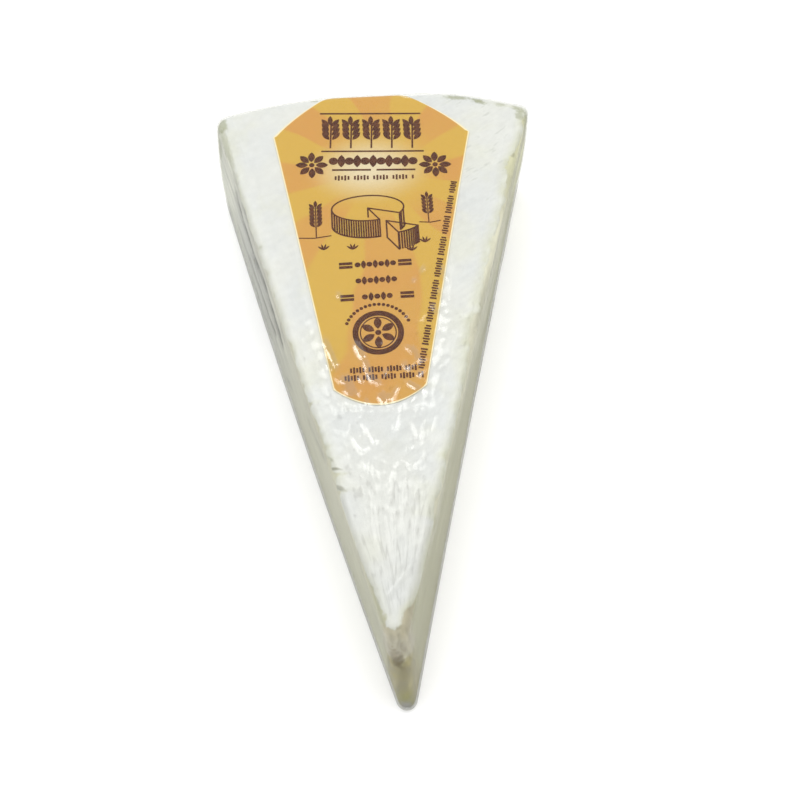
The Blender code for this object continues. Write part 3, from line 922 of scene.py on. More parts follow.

# %% [markdown]
# ### Rind and paste together
# The torn distance from the relief decides which of the two colours shows, with a finely shaken border. The
# grooves and the foot are darkened with painted shade, for the little light that reaches into a groove or
# under the slice's edge. The rind is rough as felt and the paste smoother, and a fine bump gives the down.

# %% Cheese finish
def cheese_finish():
    material, nodes, shader, place = start_finish("rind_and_paste")
    reach = nodes.number("reach")
    height = nodes.add("ShaderNodeSeparateXYZ", {0: place}, out="Z")
    torn = nodes.shake(place, 1.1 * MM, detail=4, seed=4.0) * (1.4 * MM) + nodes.number("torn")
    white = nodes.ramp(torn, -0.25 * MM, 0.45 * MM)
    paste = nose_colour(nodes, place, reach, height, paste_colour(nodes, place, reach, height))
    layers = [(white, rind_colour(nodes, place, reach))]
    for x, y, z, size, stretch, turn, share in RIND_FLECKS:
        fleck = spot(nodes, place, (x, y, z), size, 0.5, 0.9, stretch, turn)
        layers.append((fleck * share, FLECK_OLIVE))
    grain = nodes.patches(place, 1.8 * MM, 0.3, 0.7, 0.955, 1.02, seed=6.0, detail=4, smooth=False)
    shade = nodes.scale(nodes.paint(paste, *layers), grain)
    # Painted shade in the creased grooves of the left cut face.
    groove_shade = nodes.ramp(nodes.number("crease"), 0.05 * MM, 0.6 * MM, 0.0, 0.9)
    groove_shade = groove_shade * nodes.patches(place, 5 * MM, 0.35, 0.55, 0.5, 1.0, seed=7.0)
    # Painted shade at the foot, where the slice meets the floor and the film gathers.
    foot = nodes.fall(height, 0.6 * MM, 2.6 * MM, 0.55)
    shade = nodes.paint(shade, (groove_shade, PAINTED_SHADE_GREY), (foot, PAINTED_SHADE_GREY))
    fuzz = nodes.noise(place, 0.55 * MM, detail=4, roughness=0.7, seed=9.0)
    nodes.fill(shader, {
        "Base Color": shade, "Roughness": nodes.mix(white, 0.55, 0.85), "Specular IOR Level": 0.2,
        "Normal": nodes.bump(fuzz, 0.10 * MM, 0.7),
    })
    return material

# %% [markdown]
# ### The cheese is made
# The skin stands 0.45 mm clear of the floor, because film lies under it. Its stored numbers are added, the
# relief is made real, and the piece takes the place of the CAD solid.

# %% The cheese itself
CHEESE_FLOOR = 0.45 * MM

cheese, cheese_points, cheese_climb = make_skin("cheese", 0.0, 0.0, CHEESE_FLOOR)
add_numbers(cheese.data, "bloom", bloom_distance(cheese_points, cheese_climb))
add_numbers(cheese.data, "crease", crease_depth(cheese_points))
run_tree(cheese, rind_relief_tree(), cheese_finish())
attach(cheese, "root")
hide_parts("cheese_wedge")

# %% [markdown]
# ## The paper label
# The label is a sheet of paper with a bowed foot, long straight sides, cut shoulders and a narrow head. It
# was stuck on flat and its head is bent over the heel's round edge, so it is made the same way: each point
# is first placed on the flat sheet and then laid on the slice, past the edge down round it. The flat place
# is kept as the sheet's own UV map, in centimetres, because the printed colours follow the paper.

# %% Label sizes
LABEL_THICKNESS = 0.14 * MM
LABEL_GAP = 0.12 * MM
LABEL_START = 71.8 * MM
LABEL_SHOULDER = 156.9 * MM
LABEL_END = 172.8 * MM
LABEL_FOOT_WIDTH = 22.4 * MM
LABEL_SHOULDER_WIDTH = 53.1 * MM
LABEL_HEAD_ROUND = 1.7 * MM
LABEL_HEAD_WIDTH = 22.0 * MM
LABEL_HEAD_SWELL = 2.6 * MM
LABEL_FOOT_BOW = 4.8 * MM
LABEL_HEAD_BOW = 4.0 * MM
LABEL_SKEW = 1.0 * MM
LABEL_FOOT_SHIFT = -1.1 * MM
LABEL_HEAD_SHIFT = 0.85 * MM
LABEL_BODY_ROWS = 84
LABEL_HEAD_ROWS = 30
LABEL_COLUMNS = 48
CENTIMETRE = 10 * MM

# %% [markdown]
# ### From the flat sheet to the slice
# The sheet's width and its middle line are known at each distance from the wheel's centre. To bend a point
# round the heel, its distance past the start of the brow is used up first on the quarter turn and then on the
# way down. This keeps every length on the paper, as real paper does, so the print isn't stretched.

# %% Laying on the slice
def label_width(along):
    """Width of the flat label at distances from the wheel's centre."""
    body = (along - LABEL_START) / (LABEL_SHOULDER - LABEL_START)
    head = (along - LABEL_SHOULDER) / (LABEL_END - LABEL_SHOULDER)
    swell = 4 * LABEL_HEAD_SWELL * head * (1 - head)
    into_round = np.clip(along - LABEL_END + LABEL_HEAD_ROUND, 0.0, LABEL_HEAD_ROUND)
    swell = swell - 2 * (LABEL_HEAD_ROUND - np.sqrt(LABEL_HEAD_ROUND ** 2 - into_round ** 2))
    return np.where(along < LABEL_SHOULDER, mix(LABEL_FOOT_WIDTH, LABEL_SHOULDER_WIDTH, body),
                    mix(LABEL_SHOULDER_WIDTH, LABEL_HEAD_WIDTH, head) + swell)


def label_middle(along):
    """How far the middle of the flat label is off the slice's middle line: it was stuck on askew."""
    return mix(LABEL_FOOT_SHIFT, LABEL_HEAD_SHIFT, (along - LABEL_START) / (LABEL_END - LABEL_START))


def lay_on_slice(flat, offset):
    """Lays flat points on the top, past the brow of the heel round it, and then down the heel."""
    length = np.hypot(flat[:, 0], flat[:, 1])
    past = np.maximum(length - high.rim_radius(flat) + HEEL_BROW_RADIUS, 0.0)
    swing = HEEL_BROW_RADIUS + offset
    turn = np.minimum(past / swing, QUARTER_TURN)
    height = WHEEL_HEIGHT - HEEL_BROW_RADIUS + swing * np.cos(turn) - (past - swing * turn)
    part = height_part(height)
    rim = mix(low.rim_radius(flat), high.rim_radius(flat), part) + WALL_BELLY * np.sin(math.pi * part)
    reach = np.where(turn > 0, (rim - HEEL_BROW_RADIUS + swing * np.sin(turn)) / length, 1.0)
    return np.column_stack([flat * reach[:, None], lift(flat * reach[:, None], height)])

# %% [markdown]
# ### Printed paper
# The ground is eight wide orange rays on golden yellow, drawn with the cosine of eight times the angle round
# a point in the head, which gives even rays with soft borders. Noise bends them and makes the ink patchy, a
# pale glow lies behind the middle of the head, and the paper's bare edge is left cream.

# %% Label finish
PAPER_CREAM = colour(233, 222, 184)
LABEL_YELLOW = colour(198, 159, 57)
LABEL_ORANGE = colour(197, 142, 62)
GLOW_CREAM = colour(214, 199, 163)
RAY_CENTRE = (0.2, 14.2)
RAY_COUNT = 8.0
RAY_BEND = 0.3
GLOW_CENTRE = (-0.05, 14.35)
PAPER_EDGE = 0.36 * MM
SLANTED_EDGE = 0.5


def label_finish():
    """Printed paper: wide orange rays on golden yellow, a pale glow, and a thin bare edge."""
    material, nodes, shader, place = start_finish("printed_paper")
    flat = nodes.add("ShaderNodeUVMap", uv_map="flat")
    from_centre = nodes.vector("SUBTRACT", flat, (*RAY_CENTRE, 0))
    sideways = nodes.add("ShaderNodeSeparateXYZ", {0: from_centre})
    turn = nodes.math("ARCTAN2", sideways, sideways.other("Y"))
    turn = nodes.shake(place, 22 * MM, detail=1, seed=2.0) * RAY_BEND + turn
    rays = nodes.ramp(nodes.math("COSINE", turn * RAY_COUNT), -0.20, 0.10)
    rays = rays * nodes.ramp(nodes.length(from_centre), 0.9, 2.0)
    glow = nodes.vector("SUBTRACT", flat, (*GLOW_CENTRE, 0))
    glow = nodes.length(nodes.vector("MULTIPLY", glow, (0.7, 1.0, 1.0)))
    shade = nodes.paint(
        LABEL_YELLOW,
        (rays * nodes.patches(place, 12 * MM, 0.3, 0.7, 0.65, 1.0, seed=6.0), LABEL_ORANGE),
        (nodes.fall(glow, 0.1, 1.3), GLOW_CREAM),
        (nodes.fall(nodes.number("edge"), 0.7 * PAPER_EDGE, 1.3 * PAPER_EDGE), PAPER_CREAM),
    )
    fibre = nodes.patches(place, 0.8 * MM, 0.3, 0.7, 0.965, 1.03, seed=3.0, detail=4, smooth=False)
    tooth = nodes.noise(place, 0.5 * MM, detail=3, seed=5.0)
    nodes.fill(shader, {
        "Base Color": nodes.scale(shade, fibre), "Roughness": 0.55, "Specular IOR Level": 0.3,
        "Normal": nodes.bump(tooth, 0.03 * MM, 0.6),
    })
    return material

# %% [markdown]
# ### The sheet is made
# The sheet has an upper and a lower side and a thin rim between them. Its rows are bowed at the foot and at
# the head. The distance from the edge is stored for the bare border; on the slanted head it is halved,
# because there the border is seen wider.

# %% Label sheet
def make_label():
    body = np.linspace(LABEL_START, LABEL_SHOULDER, LABEL_BODY_ROWS, endpoint=False)
    head = np.linspace(LABEL_SHOULDER, LABEL_END, LABEL_HEAD_ROWS + 1)
    middle = np.concatenate([body, head])[:, None]
    along = (middle - LABEL_START) / (LABEL_END - LABEL_START)
    across = np.linspace(-1, 1, LABEL_COLUMNS + 1)[None, :]
    bow = (LABEL_FOOT_BOW * (1 - along) ** 2 - LABEL_HEAD_BOW * along ** 4) * across ** 2
    bow = bow - LABEL_SKEW * along ** 2 * across
    side = label_middle(middle) + across * label_width(middle) / 2
    flat = np.stack([side, middle + bow], axis=-1).reshape(-1, 2)
    count = len(flat)
    grid = np.arange(count).reshape(len(middle), LABEL_COLUMNS + 1)
    rim = np.concatenate([grid[0, :-1], grid[:-1, -1], grid[-1, :0:-1], grid[:0:-1, 0]])
    walls = np.column_stack([rim, np.roll(rim, -1)])
    walls = np.column_stack([walls, walls[:, ::-1] + count])[:, [3, 2, 1, 0]]
    faces = np.concatenate([grid_faces(grid), grid_faces(grid)[:, ::-1] + count, walls])
    upper = lay_on_slice(flat, LABEL_GAP + LABEL_THICKNESS)
    lower = lay_on_slice(flat, LABEL_GAP)
    data = new_mesh("label", np.concatenate([upper, lower]) + TO_PART, faces.tolist())
    data.shade_smooth()
    data.set_sharp_from_angle(angle=math.radians(50))
    to_side = (1 - np.abs(across)) * label_width(middle) / 2
    to_side = to_side * np.where(middle > LABEL_SHOULDER, SLANTED_EDGE, 1.0)
    to_foot = np.broadcast_to(middle - LABEL_START, to_side.shape)
    to_head = np.broadcast_to(LABEL_END - middle, to_side.shape)
    edge = np.minimum(np.minimum(to_side, to_foot), to_head).reshape(-1)
    add_numbers(data, "edge", np.concatenate([edge, edge * 0]))
    flat_map = data.uv_layers.new(name="flat")
    corners = np.zeros(len(data.loops), np.int32)
    data.loops.foreach_get("vertex_index", corners)
    flat_map.data.foreach_set("uv", (np.concatenate([flat, flat])[corners] / CENTIMETRE).reshape(-1))
    data.materials.append(label_finish())
    print("label faces:", len(data.polygons))
    return put_in_scene("label", data)


label = make_label()
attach(label, "root")
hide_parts("paper_label")

# %% [markdown]
# ### The print
# The print is dark brown ink. It is all made of a few small stamps: a bar, a pointed leaf and a disc. Each
# mark of the design is one point on the flat label that carries its stamp, its size and its turn, and
# Geometry Nodes puts the stamps on the points. A picture could be mapped on the paper, but stamps stay sharp
# at any distance. The finished flat print is then laid on the slice just as the paper was.

# %% Marks of the design
BAR, LEAF, DISC = 0, 1, 2
INK_FLOAT = 0.02 * MM
HEAD_TILT = 0.060
HEAD_FOOT = 134.0
marks = []


def mark(stamp, across, along, length, width, turn=0.0):
    """Adds one stamp in millimetres on the flat label; its length points up when turn, in degrees, is 0."""
    tilt = HEAD_TILT * float(ease((along - HEAD_FOOT) / 10))
    marks.append((stamp, across, along - tilt * across, length, width, math.radians(turn) - tilt))


def stroke(points, width):
    """Draws a line through points as a chain of bars."""
    for (x, y), (to_x, to_y) in zip(points, points[1:]):
        length = math.hypot(to_x - x, to_y - y)
        turn = math.degrees(math.atan2(x - to_x, to_y - y))
        mark(BAR, (x + to_x) / 2, (y + to_y) / 2, length + width * 0.6, width, turn)


def arc(x, y, wide, tall, start, end, steps=24):
    """Points on an ellipse between two angles in degrees."""
    angles = np.radians(np.linspace(start, end, steps + 1))
    return list(zip(x + wide * np.cos(angles), y + tall * np.sin(angles)))


def rosette(x, y, size, petals):
    """A flower of leaves round a disc."""
    for turn in np.arange(petals) * 360 / petals:
        reach = size * 0.32
        side = math.radians(turn)
        mark(LEAF, x - reach * math.sin(side), y + reach * math.cos(side), size * 0.40, size * 0.22, turn)
    mark(DISC, x, y, size * 0.17, size * 0.17)


def wheat(x, y, tall, pairs, leaf):
    """A stalk with pairs of leaves and one leaf on top."""
    mark(BAR, x, y + tall * 0.42, tall * 0.84, leaf * 0.14)
    for row in range(pairs):
        at = y + tall * (0.30 + 0.58 * row / pairs)
        for side in (-1, 1):
            mark(LEAF, x + side * leaf * 0.42, at + leaf * 0.30, leaf, leaf * 0.42, -side * 38)
    mark(LEAF, x, y + tall * 0.90, leaf, leaf * 0.42)


def dashes(start, end, spacing, tall, wide, group=5):
    """A row of tiny upright dashes in even groups; every second one is shorter."""
    start, end = np.array(start), np.array(end)
    count = int(np.hypot(*(end - start)) / spacing)
    turn = math.degrees(math.atan2(end[1] - start[1], end[0] - start[0]))
    for number in range(count + 1):
        if number % (group + 1) != group:
            x, y = start + (end - start) * number / count
            mark(BAR, x, y, tall * (1.0 if number % 2 else 0.72), wide, turn)


def beads(x, y, half, stamps, size):
    """A centred row of alternating discs and upright leaves."""
    for number, place in enumerate(np.linspace(-half, half, stamps)):
        if number % 2:
            mark(LEAF, x + place, y, size * 1.7, size * 0.85)
        else:
            mark(DISC, x + place, y, size, size)

# %% [markdown]
# ### The head of the label
# A rule, five ears of wheat, another rule, and a line of beads between two flowers fill the head. The head
# is printed with a slight slant, so every mark above its foot is tilted by the same small angle.

# %% Head of the label
stroke([(-13.0, 162.6), (14.2, 162.6)], 0.5)
for x in np.linspace(-10.4, 11.6, 5):
    wheat(x, 150.4, 10.8, 4, 3.3)
stroke([(-13.0, 149.3), (14.2, 149.3)], 0.5)
for x in (-15.8, 17.0):
    rosette(x, 144.6, 8.4, 8)
beads(0.6, 145.9, 10.6, 11, 2.5)
for x in (-5.3, 6.5):
    stroke([(x - 5.0, 142.9), (x + 5.0, 142.9)], 0.55)
dashes((-9.6, 140.3), (10.8, 140.3), 0.85, 1.7, 0.5)
print("marks so far:", len(marks))

# %% [markdown]
# ### The picture in the middle
# A cheese with one slice pulled out stands on a line of ground between two ears of wheat. It is drawn as an
# engraver would: outlines in chains of bars, and upright hatching on the sides, which leaves out the angles
# where the slice was cut away.

# %% Picture of the wheel
WHEEL_X, WHEEL_Y, WHEEL_WIDE, WHEEL_TALL, WHEEL_DEEP = -1.6, 130.2, 9.4, 4.1, 5.4
SLICE_START, SLICE_END = 288, 330
PULLED_X, PULLED_Y = 4.6, -4.4
HATCH_WIDTH = 0.44


def wheel_arc(x, y, start, end, steps):
    """Part of the wheel's rim, moved by x and y."""
    return arc(WHEEL_X + x, WHEEL_Y + y, WHEEL_WIDE, WHEEL_TALL, start, end, steps)


stroke(wheel_arc(0, 0, SLICE_END, SLICE_START + 360, 40), 0.4)
stroke(wheel_arc(0, -WHEEL_DEEP, 180, SLICE_START, 16), 0.45)
stroke(wheel_arc(0, -WHEEL_DEEP, SLICE_END, 360, 6), 0.45)
for x in np.arange(WHEEL_X - WHEEL_WIDE, WHEEL_X + WHEEL_WIDE + 0.1, 0.62):
    part = (x - WHEEL_X) / WHEEL_WIDE
    angle = 360 - math.degrees(math.acos(np.clip(part, -1, 1)))
    if not SLICE_START < angle < SLICE_END:
        top = WHEEL_Y - WHEEL_TALL * math.sqrt(max(1 - part ** 2, 0.0))
        mark(BAR, x, top - WHEEL_DEEP / 2, WHEEL_DEEP, HATCH_WIDTH)
for angle in (SLICE_START, SLICE_END):
    x, y = wheel_arc(0, 0, angle, angle, 0)[0]
    stroke([(WHEEL_X, WHEEL_Y), (x, y), (x, y - WHEEL_DEEP)], 0.4)
stroke([(WHEEL_X, WHEEL_Y), (WHEEL_X, WHEEL_Y - WHEEL_DEEP * 0.55)], 0.4)
tip = (WHEEL_X + PULLED_X, WHEEL_Y + PULLED_Y)
pulled = wheel_arc(PULLED_X, PULLED_Y, SLICE_START, SLICE_END, 8)
stroke([tip, *pulled, tip], 0.4)
stroke([tip, (tip[0], tip[1] - WHEEL_DEEP), (pulled[0][0], pulled[0][1] - WHEEL_DEEP), pulled[0]], 0.4)
for x, y in wheel_arc(PULLED_X, PULLED_Y, SLICE_START + 1, SLICE_END - 1, 9):
    mark(BAR, x, y - WHEEL_DEEP / 2, WHEEL_DEEP, HATCH_WIDTH)
wheat(-15.2, 121.6, 12.0, 6, 2.3)
wheat(14.0, 124.6, 10.0, 5, 2.1)
stroke([(-19.6, 121.8), (-15.6, 121.5), (-11.4, 122.0)], 0.3)
stroke([(11.6, 124.8), (14.4, 124.5), (17.0, 124.9)], 0.3)
for x, y in ((-13.4, 117.6), (-6.0, 117.2), (12.6, 118.2), (9.0, 115.8)):
    for turn in (-50, -18, 18, 50):
        mark(LEAF, x - math.sin(math.radians(turn)), y + math.cos(math.radians(turn)), 2.0, 0.5, turn)
print("marks so far:", len(marks))

# %% [markdown]
# ### The foot of the label
# Three rows of beads, a round badge with a flower under an arc of dots, two rows of dashes across and one
# long row up the right side. A dash is a bar like any other; its even rows give a soft brown tone.

# %% Foot of the label
for along, half, stamps in ((112.4, 4.5, 7), (107.5, 4.5, 7), (102.6, 3.1, 5)):
    beads(-0.5, along, half, stamps, 1.5)
for along in (112.4, 102.6):
    for x in (-8.0, 7.0):
        for shift in (-0.55, 0.55):
            mark(BAR, x, along + shift, 0.8, 3.4)
BADGE = (-0.8, 92.0)
for size, width in ((5.6, 1.4), (4.4, 0.3)):
    stroke(arc(*BADGE, size, size, 0, 360, 40), width)
rosette(*BADGE, 8.8, 6)
for x, y in arc(*BADGE, 8.2, 8.2, 22, 158, 17):
    mark(DISC, x, y, 0.9, 0.9)
dashes((-7.9, 81.6), (7.7, 81.6), 0.74, 1.7, 0.5)
dashes((-9.3, 79.5), (9.2, 79.5), 0.74, 1.7, 0.5)
dashes((9.0, 81.4), (21.5, 137.6), 0.74, 1.7, 0.48, group=8)
print("marks in all:", len(marks))

# %% [markdown]
# ### Three stamps
# A bar is cut into eight steps along its length, so that it bends with the paper, and a leaf and a disc have
# only a few corners, because each is used hundreds of times. The tree picks the stamp by the mark's number,
# scales and turns it, makes all of it real and gives the ink its small thickness.

# %% Stamps on the marks
BAR_STEPS = 8
LEAF_CORNERS = 12
DISC_CORNERS = 16


def stamp_outlines():
    """The three stamps as outlines one unit long and one unit wide: their points and their faces."""
    rows = np.linspace(-0.5, 0.5, BAR_STEPS + 1)
    bar = np.concatenate([np.column_stack([rows * 0 - 0.5, rows]), np.column_stack([rows * 0 + 0.5, rows])])
    bar_faces = [(i, i + BAR_STEPS + 1, i + BAR_STEPS + 2, i + 1) for i in range(BAR_STEPS)]
    rise = np.linspace(-0.5, 0.5, LEAF_CORNERS // 2 + 1)
    bulge = 0.5 * np.cos(math.pi * rise) ** 0.8
    leaf = np.concatenate([np.column_stack([bulge, rise]), np.column_stack([-bulge, rise])[-2:0:-1]])
    disc = direction(np.arange(DISC_CORNERS) * math.tau / DISC_CORNERS) / 2
    return [(bar, bar_faces), (leaf, [tuple(range(len(leaf)))]), (disc, [tuple(range(DISC_CORNERS))])]


def print_tree(stamps):
    nodes, given = geometry_tree("printed_marks", {"Ink Thickness": 0.03 * MM, "Spread": 1.0})
    joined = nodes.add("GeometryNodeGeometryToInstance")
    for stamp in reversed(stamps):
        shape = nodes.add("GeometryNodeObjectInfo", {"Object": stamp}, out="Geometry")
        nodes.fill(joined.socket.node, {"Geometry": shape})
    stamped = nodes.add("GeometryNodeInstanceOnPoints", {
        "Points": given["Geometry"], "Instance": joined, "Pick Instance": True,
        "Instance Index": nodes.add("GeometryNodeInputNamedAttribute", {"Name": "stamp"}, data_type="INT"),
        "Rotation": nodes.combine(z=nodes.number("turn")),
        "Scale": nodes.combine(nodes.number("width") * given["Spread"], nodes.number("length"), 1.0),
    })
    real = nodes.add("GeometryNodeRealizeInstances", {"Geometry": stamped})
    thick = nodes.add("GeometryNodeExtrudeMesh", {
        "Mesh": real, "Offset Scale": given["Ink Thickness"], "Individual": False,
    })
    return end_tree(nodes, given, thick)

# %% [markdown]
# ### The ink, and the print made flat
# The ink is dark brown and matt, thinner here and there. The marks become the points of a mesh with four
# stored numbers each, and the tree turns them into the print, still flat.

# %% Ink and print
INK_BROWN = colour(72, 32, 12)
INK_THIN = colour(98, 54, 24)


def ink_finish():
    """Dark brown ink, a little thinner here and there."""
    material, nodes, shader, place = start_finish("brown_ink")
    shade = nodes.paint(INK_BROWN, (nodes.patches(place, 1.2 * MM, 0.35, 0.75, seed=21.0), INK_THIN))
    nodes.fill(shader, {"Base Color": shade, "Roughness": 0.8, "Specular IOR Level": 0.05})
    return material


stamp_objects = []
for name, (outline, faces) in zip(("bar", "leaf", "disc"), stamp_outlines()):
    stamp_data = new_mesh(name, np.column_stack([outline, outline[:, 0] * 0]), faces)
    stamp_objects.append(bpy.data.objects.new(name, stamp_data))
mark_table = np.array(marks)
mark_places = np.column_stack([mark_table[:, 1:3], 0 * mark_table[:, 0]])
print_data = new_mesh("label_print", mark_places.dot(MM), [])
for name, column, scale in (("length", 3, MM), ("width", 4, MM), ("turn", 5, 1.0)):
    add_numbers(print_data, name, mark_table[:, column] * scale)
stamp_numbers = print_data.attributes.new("stamp", "INT", "POINT")
stamp_numbers.data.foreach_set("value", mark_table[:, 0].astype(np.int32))
label_print = put_in_scene("label_print", print_data)
run_tree(label_print, print_tree(stamp_objects), ink_finish())
for stamp in stamp_objects:
    bpy.data.objects.remove(stamp)

# %% [markdown]
# ### The print is laid on the slice
# The flat print goes through the same bending as the paper, a little further out, so the ink lies on the
# paper everywhere, round the heel as well.

# %% The print laid on the slice
count = len(label_print.data.vertices)
flat_print = np.zeros(count * 3)
label_print.data.vertices.foreach_get("co", flat_print)
flat_print = flat_print.reshape(-1, 3)
laid = lay_on_slice(flat_print[:, :2], LABEL_GAP + LABEL_THICKNESS + INK_FLOAT)
laid[:, 2] += flat_print[:, 2]
label_print.data.vertices.foreach_set("co", (laid + TO_PART).reshape(-1))
label_print.data.update()
print("printed marks:", len(marks), "faces:", len(label_print.data.polygons))
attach(label_print, "root")
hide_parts("paper_label")

# %% [markdown]
# ## The clear film
# The film is one thin sheet all the way round. It rests on the label and the rind, spans the edges, and is
# loose in places: crumpled into small facets over the lower half of the label and below it, drawn into long
# fine pleats towards the nose, and streaked along the cut faces. A cloth simulation could wrap it, but it
# would not crumple at this scale. So the sheet starts as the slice's own skin a little further out, is
# lifted by the label, and a Geometry Nodes tree adds the wrinkles where stored numbers say it is slack.

# %% Film creases
FILM_CREASES = [
    (0.33, 1.50, [(-6.6, 89.6), (-5.5, 86.4), (-4.6, 84.2)]),
    (0.25, 1.15, [(-4.6, 84.2), (-4.2, 83.4), (-3.6, 80.6)]),
    (0.30, 1.30, [(-3.8, 81.2), (-3.4, 79.6), (-2.7, 78.0)]),
    (0.24, 1.10, [(5.2, 87.7), (8.0, 85.8), (8.3, 84.2), (8.1, 82.6)]),
    (0.25, 1.15, [(4.9, 83.2), (5.5, 80.6)]),
    (0.30, 1.20, [(5.2, 77.6), (7.2, 76.0), (9.3, 74.4)]),
    (0.30, 1.35, [(-14.3, 91.4), (-12.6, 86.4), (-11.2, 81.8)]),
    (0.28, 1.20, [(-10.9, 79.5), (-8.3, 77.3), (-7.7, 75.6)]),
    (0.24, 1.10, [(-9.8, 76.3), (-7.5, 74.3)]),
    (0.24, 1.10, [(-3.7, 79.5), (-0.7, 77.1)]),
    (0.28, 1.20, [(-1.8, 74.5), (-0.9, 73.0), (-0.2, 71.6)]),
    (0.22, 1.10, [(16.3, 110.6), (16.7, 106.0)]),
    (0.20, 1.05, [(14.9, 104.2), (15.4, 101.4)]),
    (0.20, 1.05, [(-10.4, 104.6), (-9.6, 101.9)]),
    (0.20, 1.00, [(3.2, 76.4), (1.6, 74.0)]),
    (0.22, 1.05, [(8.9, 80.6), (7.9, 78.6)]),
    (0.22, 1.05, [(-6.3, 80.4), (-5.3, 77.8)]),
    (0.22, 1.05, [(6.9, 73.8), (5.4, 71.9)]),
    (0.22, 1.05, [(-4.9, 73.6), (-4.0, 71.4)]),
    (0.20, 1.00, [(0.9, 81.6), (-0.1, 80.0)]),
    (0.22, 1.00, [(12.0, 110.9), (10.6, 108.6)]),
    (0.20, 1.00, [(9.3, 107.4), (8.5, 105.8)]),
    (0.22, 1.00, [(12.9, 99.6), (14.2, 95.7)]),
    (0.26, 0.95, [(-10.2, 80.4), (-9.2, 78.2), (-8.4, 75.9)]),
    (0.26, 0.95, [(-9.1, 80.6), (-7.9, 77.6), (-7.2, 75.0)]),
    (0.26, 0.95, [(-7.6, 76.6), (-6.5, 74.2)]),
    (0.28, 1.00, [(-0.7, 75.4), (0.3, 72.6)]),
    (0.26, 0.95, [(0.6, 74.6), (1.4, 72.3)]),
    (0.24, 0.95, [(7.2, 87.4), (8.4, 84.9)]),
    (0.26, 0.95, [(-13.9, 84.6), (-12.6, 81.6)]),
    (0.33, 1.82, [(-4.9, 67.0), (-3.9, 64.0), (-2.6, 60.9)]),
    (0.25, 1.40, [(2.4, 69.8), (1.9, 67.0), (1.4, 64.8)]),
    (0.28, 1.40, [(5.8, 67.9), (7.2, 64.4), (7.4, 61.8)]),
    (0.30, 1.54, [(-2.6, 54.9), (0.1, 54.0), (-0.6, 51.4)]),
    (0.28, 1.40, [(-8.3, 64.4), (-7.0, 61.5), (-5.2, 59.3)]),
    (0.25, 1.26, [(2.3, 58.4), (5.2, 55.2), (7.3, 58.0)]),
    (0.25, 1.26, [(11.3, 68.6), (9.7, 63.4)]),
    (0.20, 1.26, [(-10.6, 48.7), (-9.7, 42.5), (-8.2, 36.0)]),
    (0.20, 1.12, [(-4.7, 52.1), (-4.5, 45.8), (-4.0, 36.0)]),
    (0.18, 1.12, [(-0.8, 51.2), (-0.6, 44.4), (-0.5, 34.0)]),
    (0.20, 1.12, [(2.0, 50.4), (2.1, 44.0), (1.8, 38.5)]),
    (0.18, 1.12, [(4.9, 50.8), (5.1, 45.2), (3.8, 33.8)]),
    (0.20, 1.26, [(7.9, 51.5), (7.7, 45.0), (6.1, 35.4)]),
    (0.36, 1.60, [(-3.4, 23.2), (-0.9, 26.4), (2.4, 30.2), (4.2, 32.6)]),
]


def film_ridges(across, along):
    """Height of the named creases of the film: low roofs along short bent lines."""
    height = np.zeros(len(across))
    for rise, width, line in FILM_CREASES:
        line = np.array(line)
        ends = np.concatenate([[0.0], np.cumsum(np.hypot(*np.diff(line, axis=0).T))])
        for a, b, before in zip(line, line[1:], ends):
            step = b - a
            length = np.hypot(*step)
            part = ((across - a[0]) * step[0] + (along - a[1]) * step[1]) / length ** 2
            part = np.clip(part, 0.0, 1.0)
            gap = np.hypot(across - a[0] - part * step[0], along - a[1] - part * step[1])
            place = (before + part * length) / ends[-1]
            roof = rise * np.clip(1 - gap / width, 0.0, 1.0) * np.clip(8 * place * (1 - place), 0.35, 1.0)
            height = np.maximum(height, roof)
    return height * MM

# %% [markdown]
# ### Where the film is slack
# Stored numbers say how much each point of the film is lifted by the label, crumpled, pleated, streaked or
# gathered underneath, where it overlaps itself, and where a crease is. A crease is a low roof, so its two
# slopes mirror the lamps, and the film is held smooth there, because a crease is a line of pull. Crumples
# and pleats each have a window along the slice: its start, end, rise and fall in millimetres.

# %% Where the film is slack
FILM_OFF_CUT = 0.38 * MM
FILM_OFF_TOP = 0.46 * MM
FILM_FLOOR = 0.10 * MM
FILM_LIFT = 0.26 * MM
LIFT_WIDTH = 2.2 * MM
GATHER_REACH = 16 * MM
LAP_HALF = 7.0
LAP_MIDDLE = 2.0
TOP_BEGINS = 30
LIFT_BEGINS = 27
CRUMPLED = (30, 116, 22, 22)
PLEATED = (14, 60, 8, 16)
SMOOTH_PATCH = (1.2, 64)
RIDGE_FULL = 0.20 * MM
RIDGE_ON_RIND = 0.20
RIDGE_STRETCH = 0.75


def off_label(points):
    """How far points are outside the label's outline, negative on the label."""
    middle = points[:, 1]
    beside = np.abs(points[:, 0] - label_middle(middle)) - label_width(middle) / 2
    before = LABEL_START - middle
    return np.maximum(beside, before)


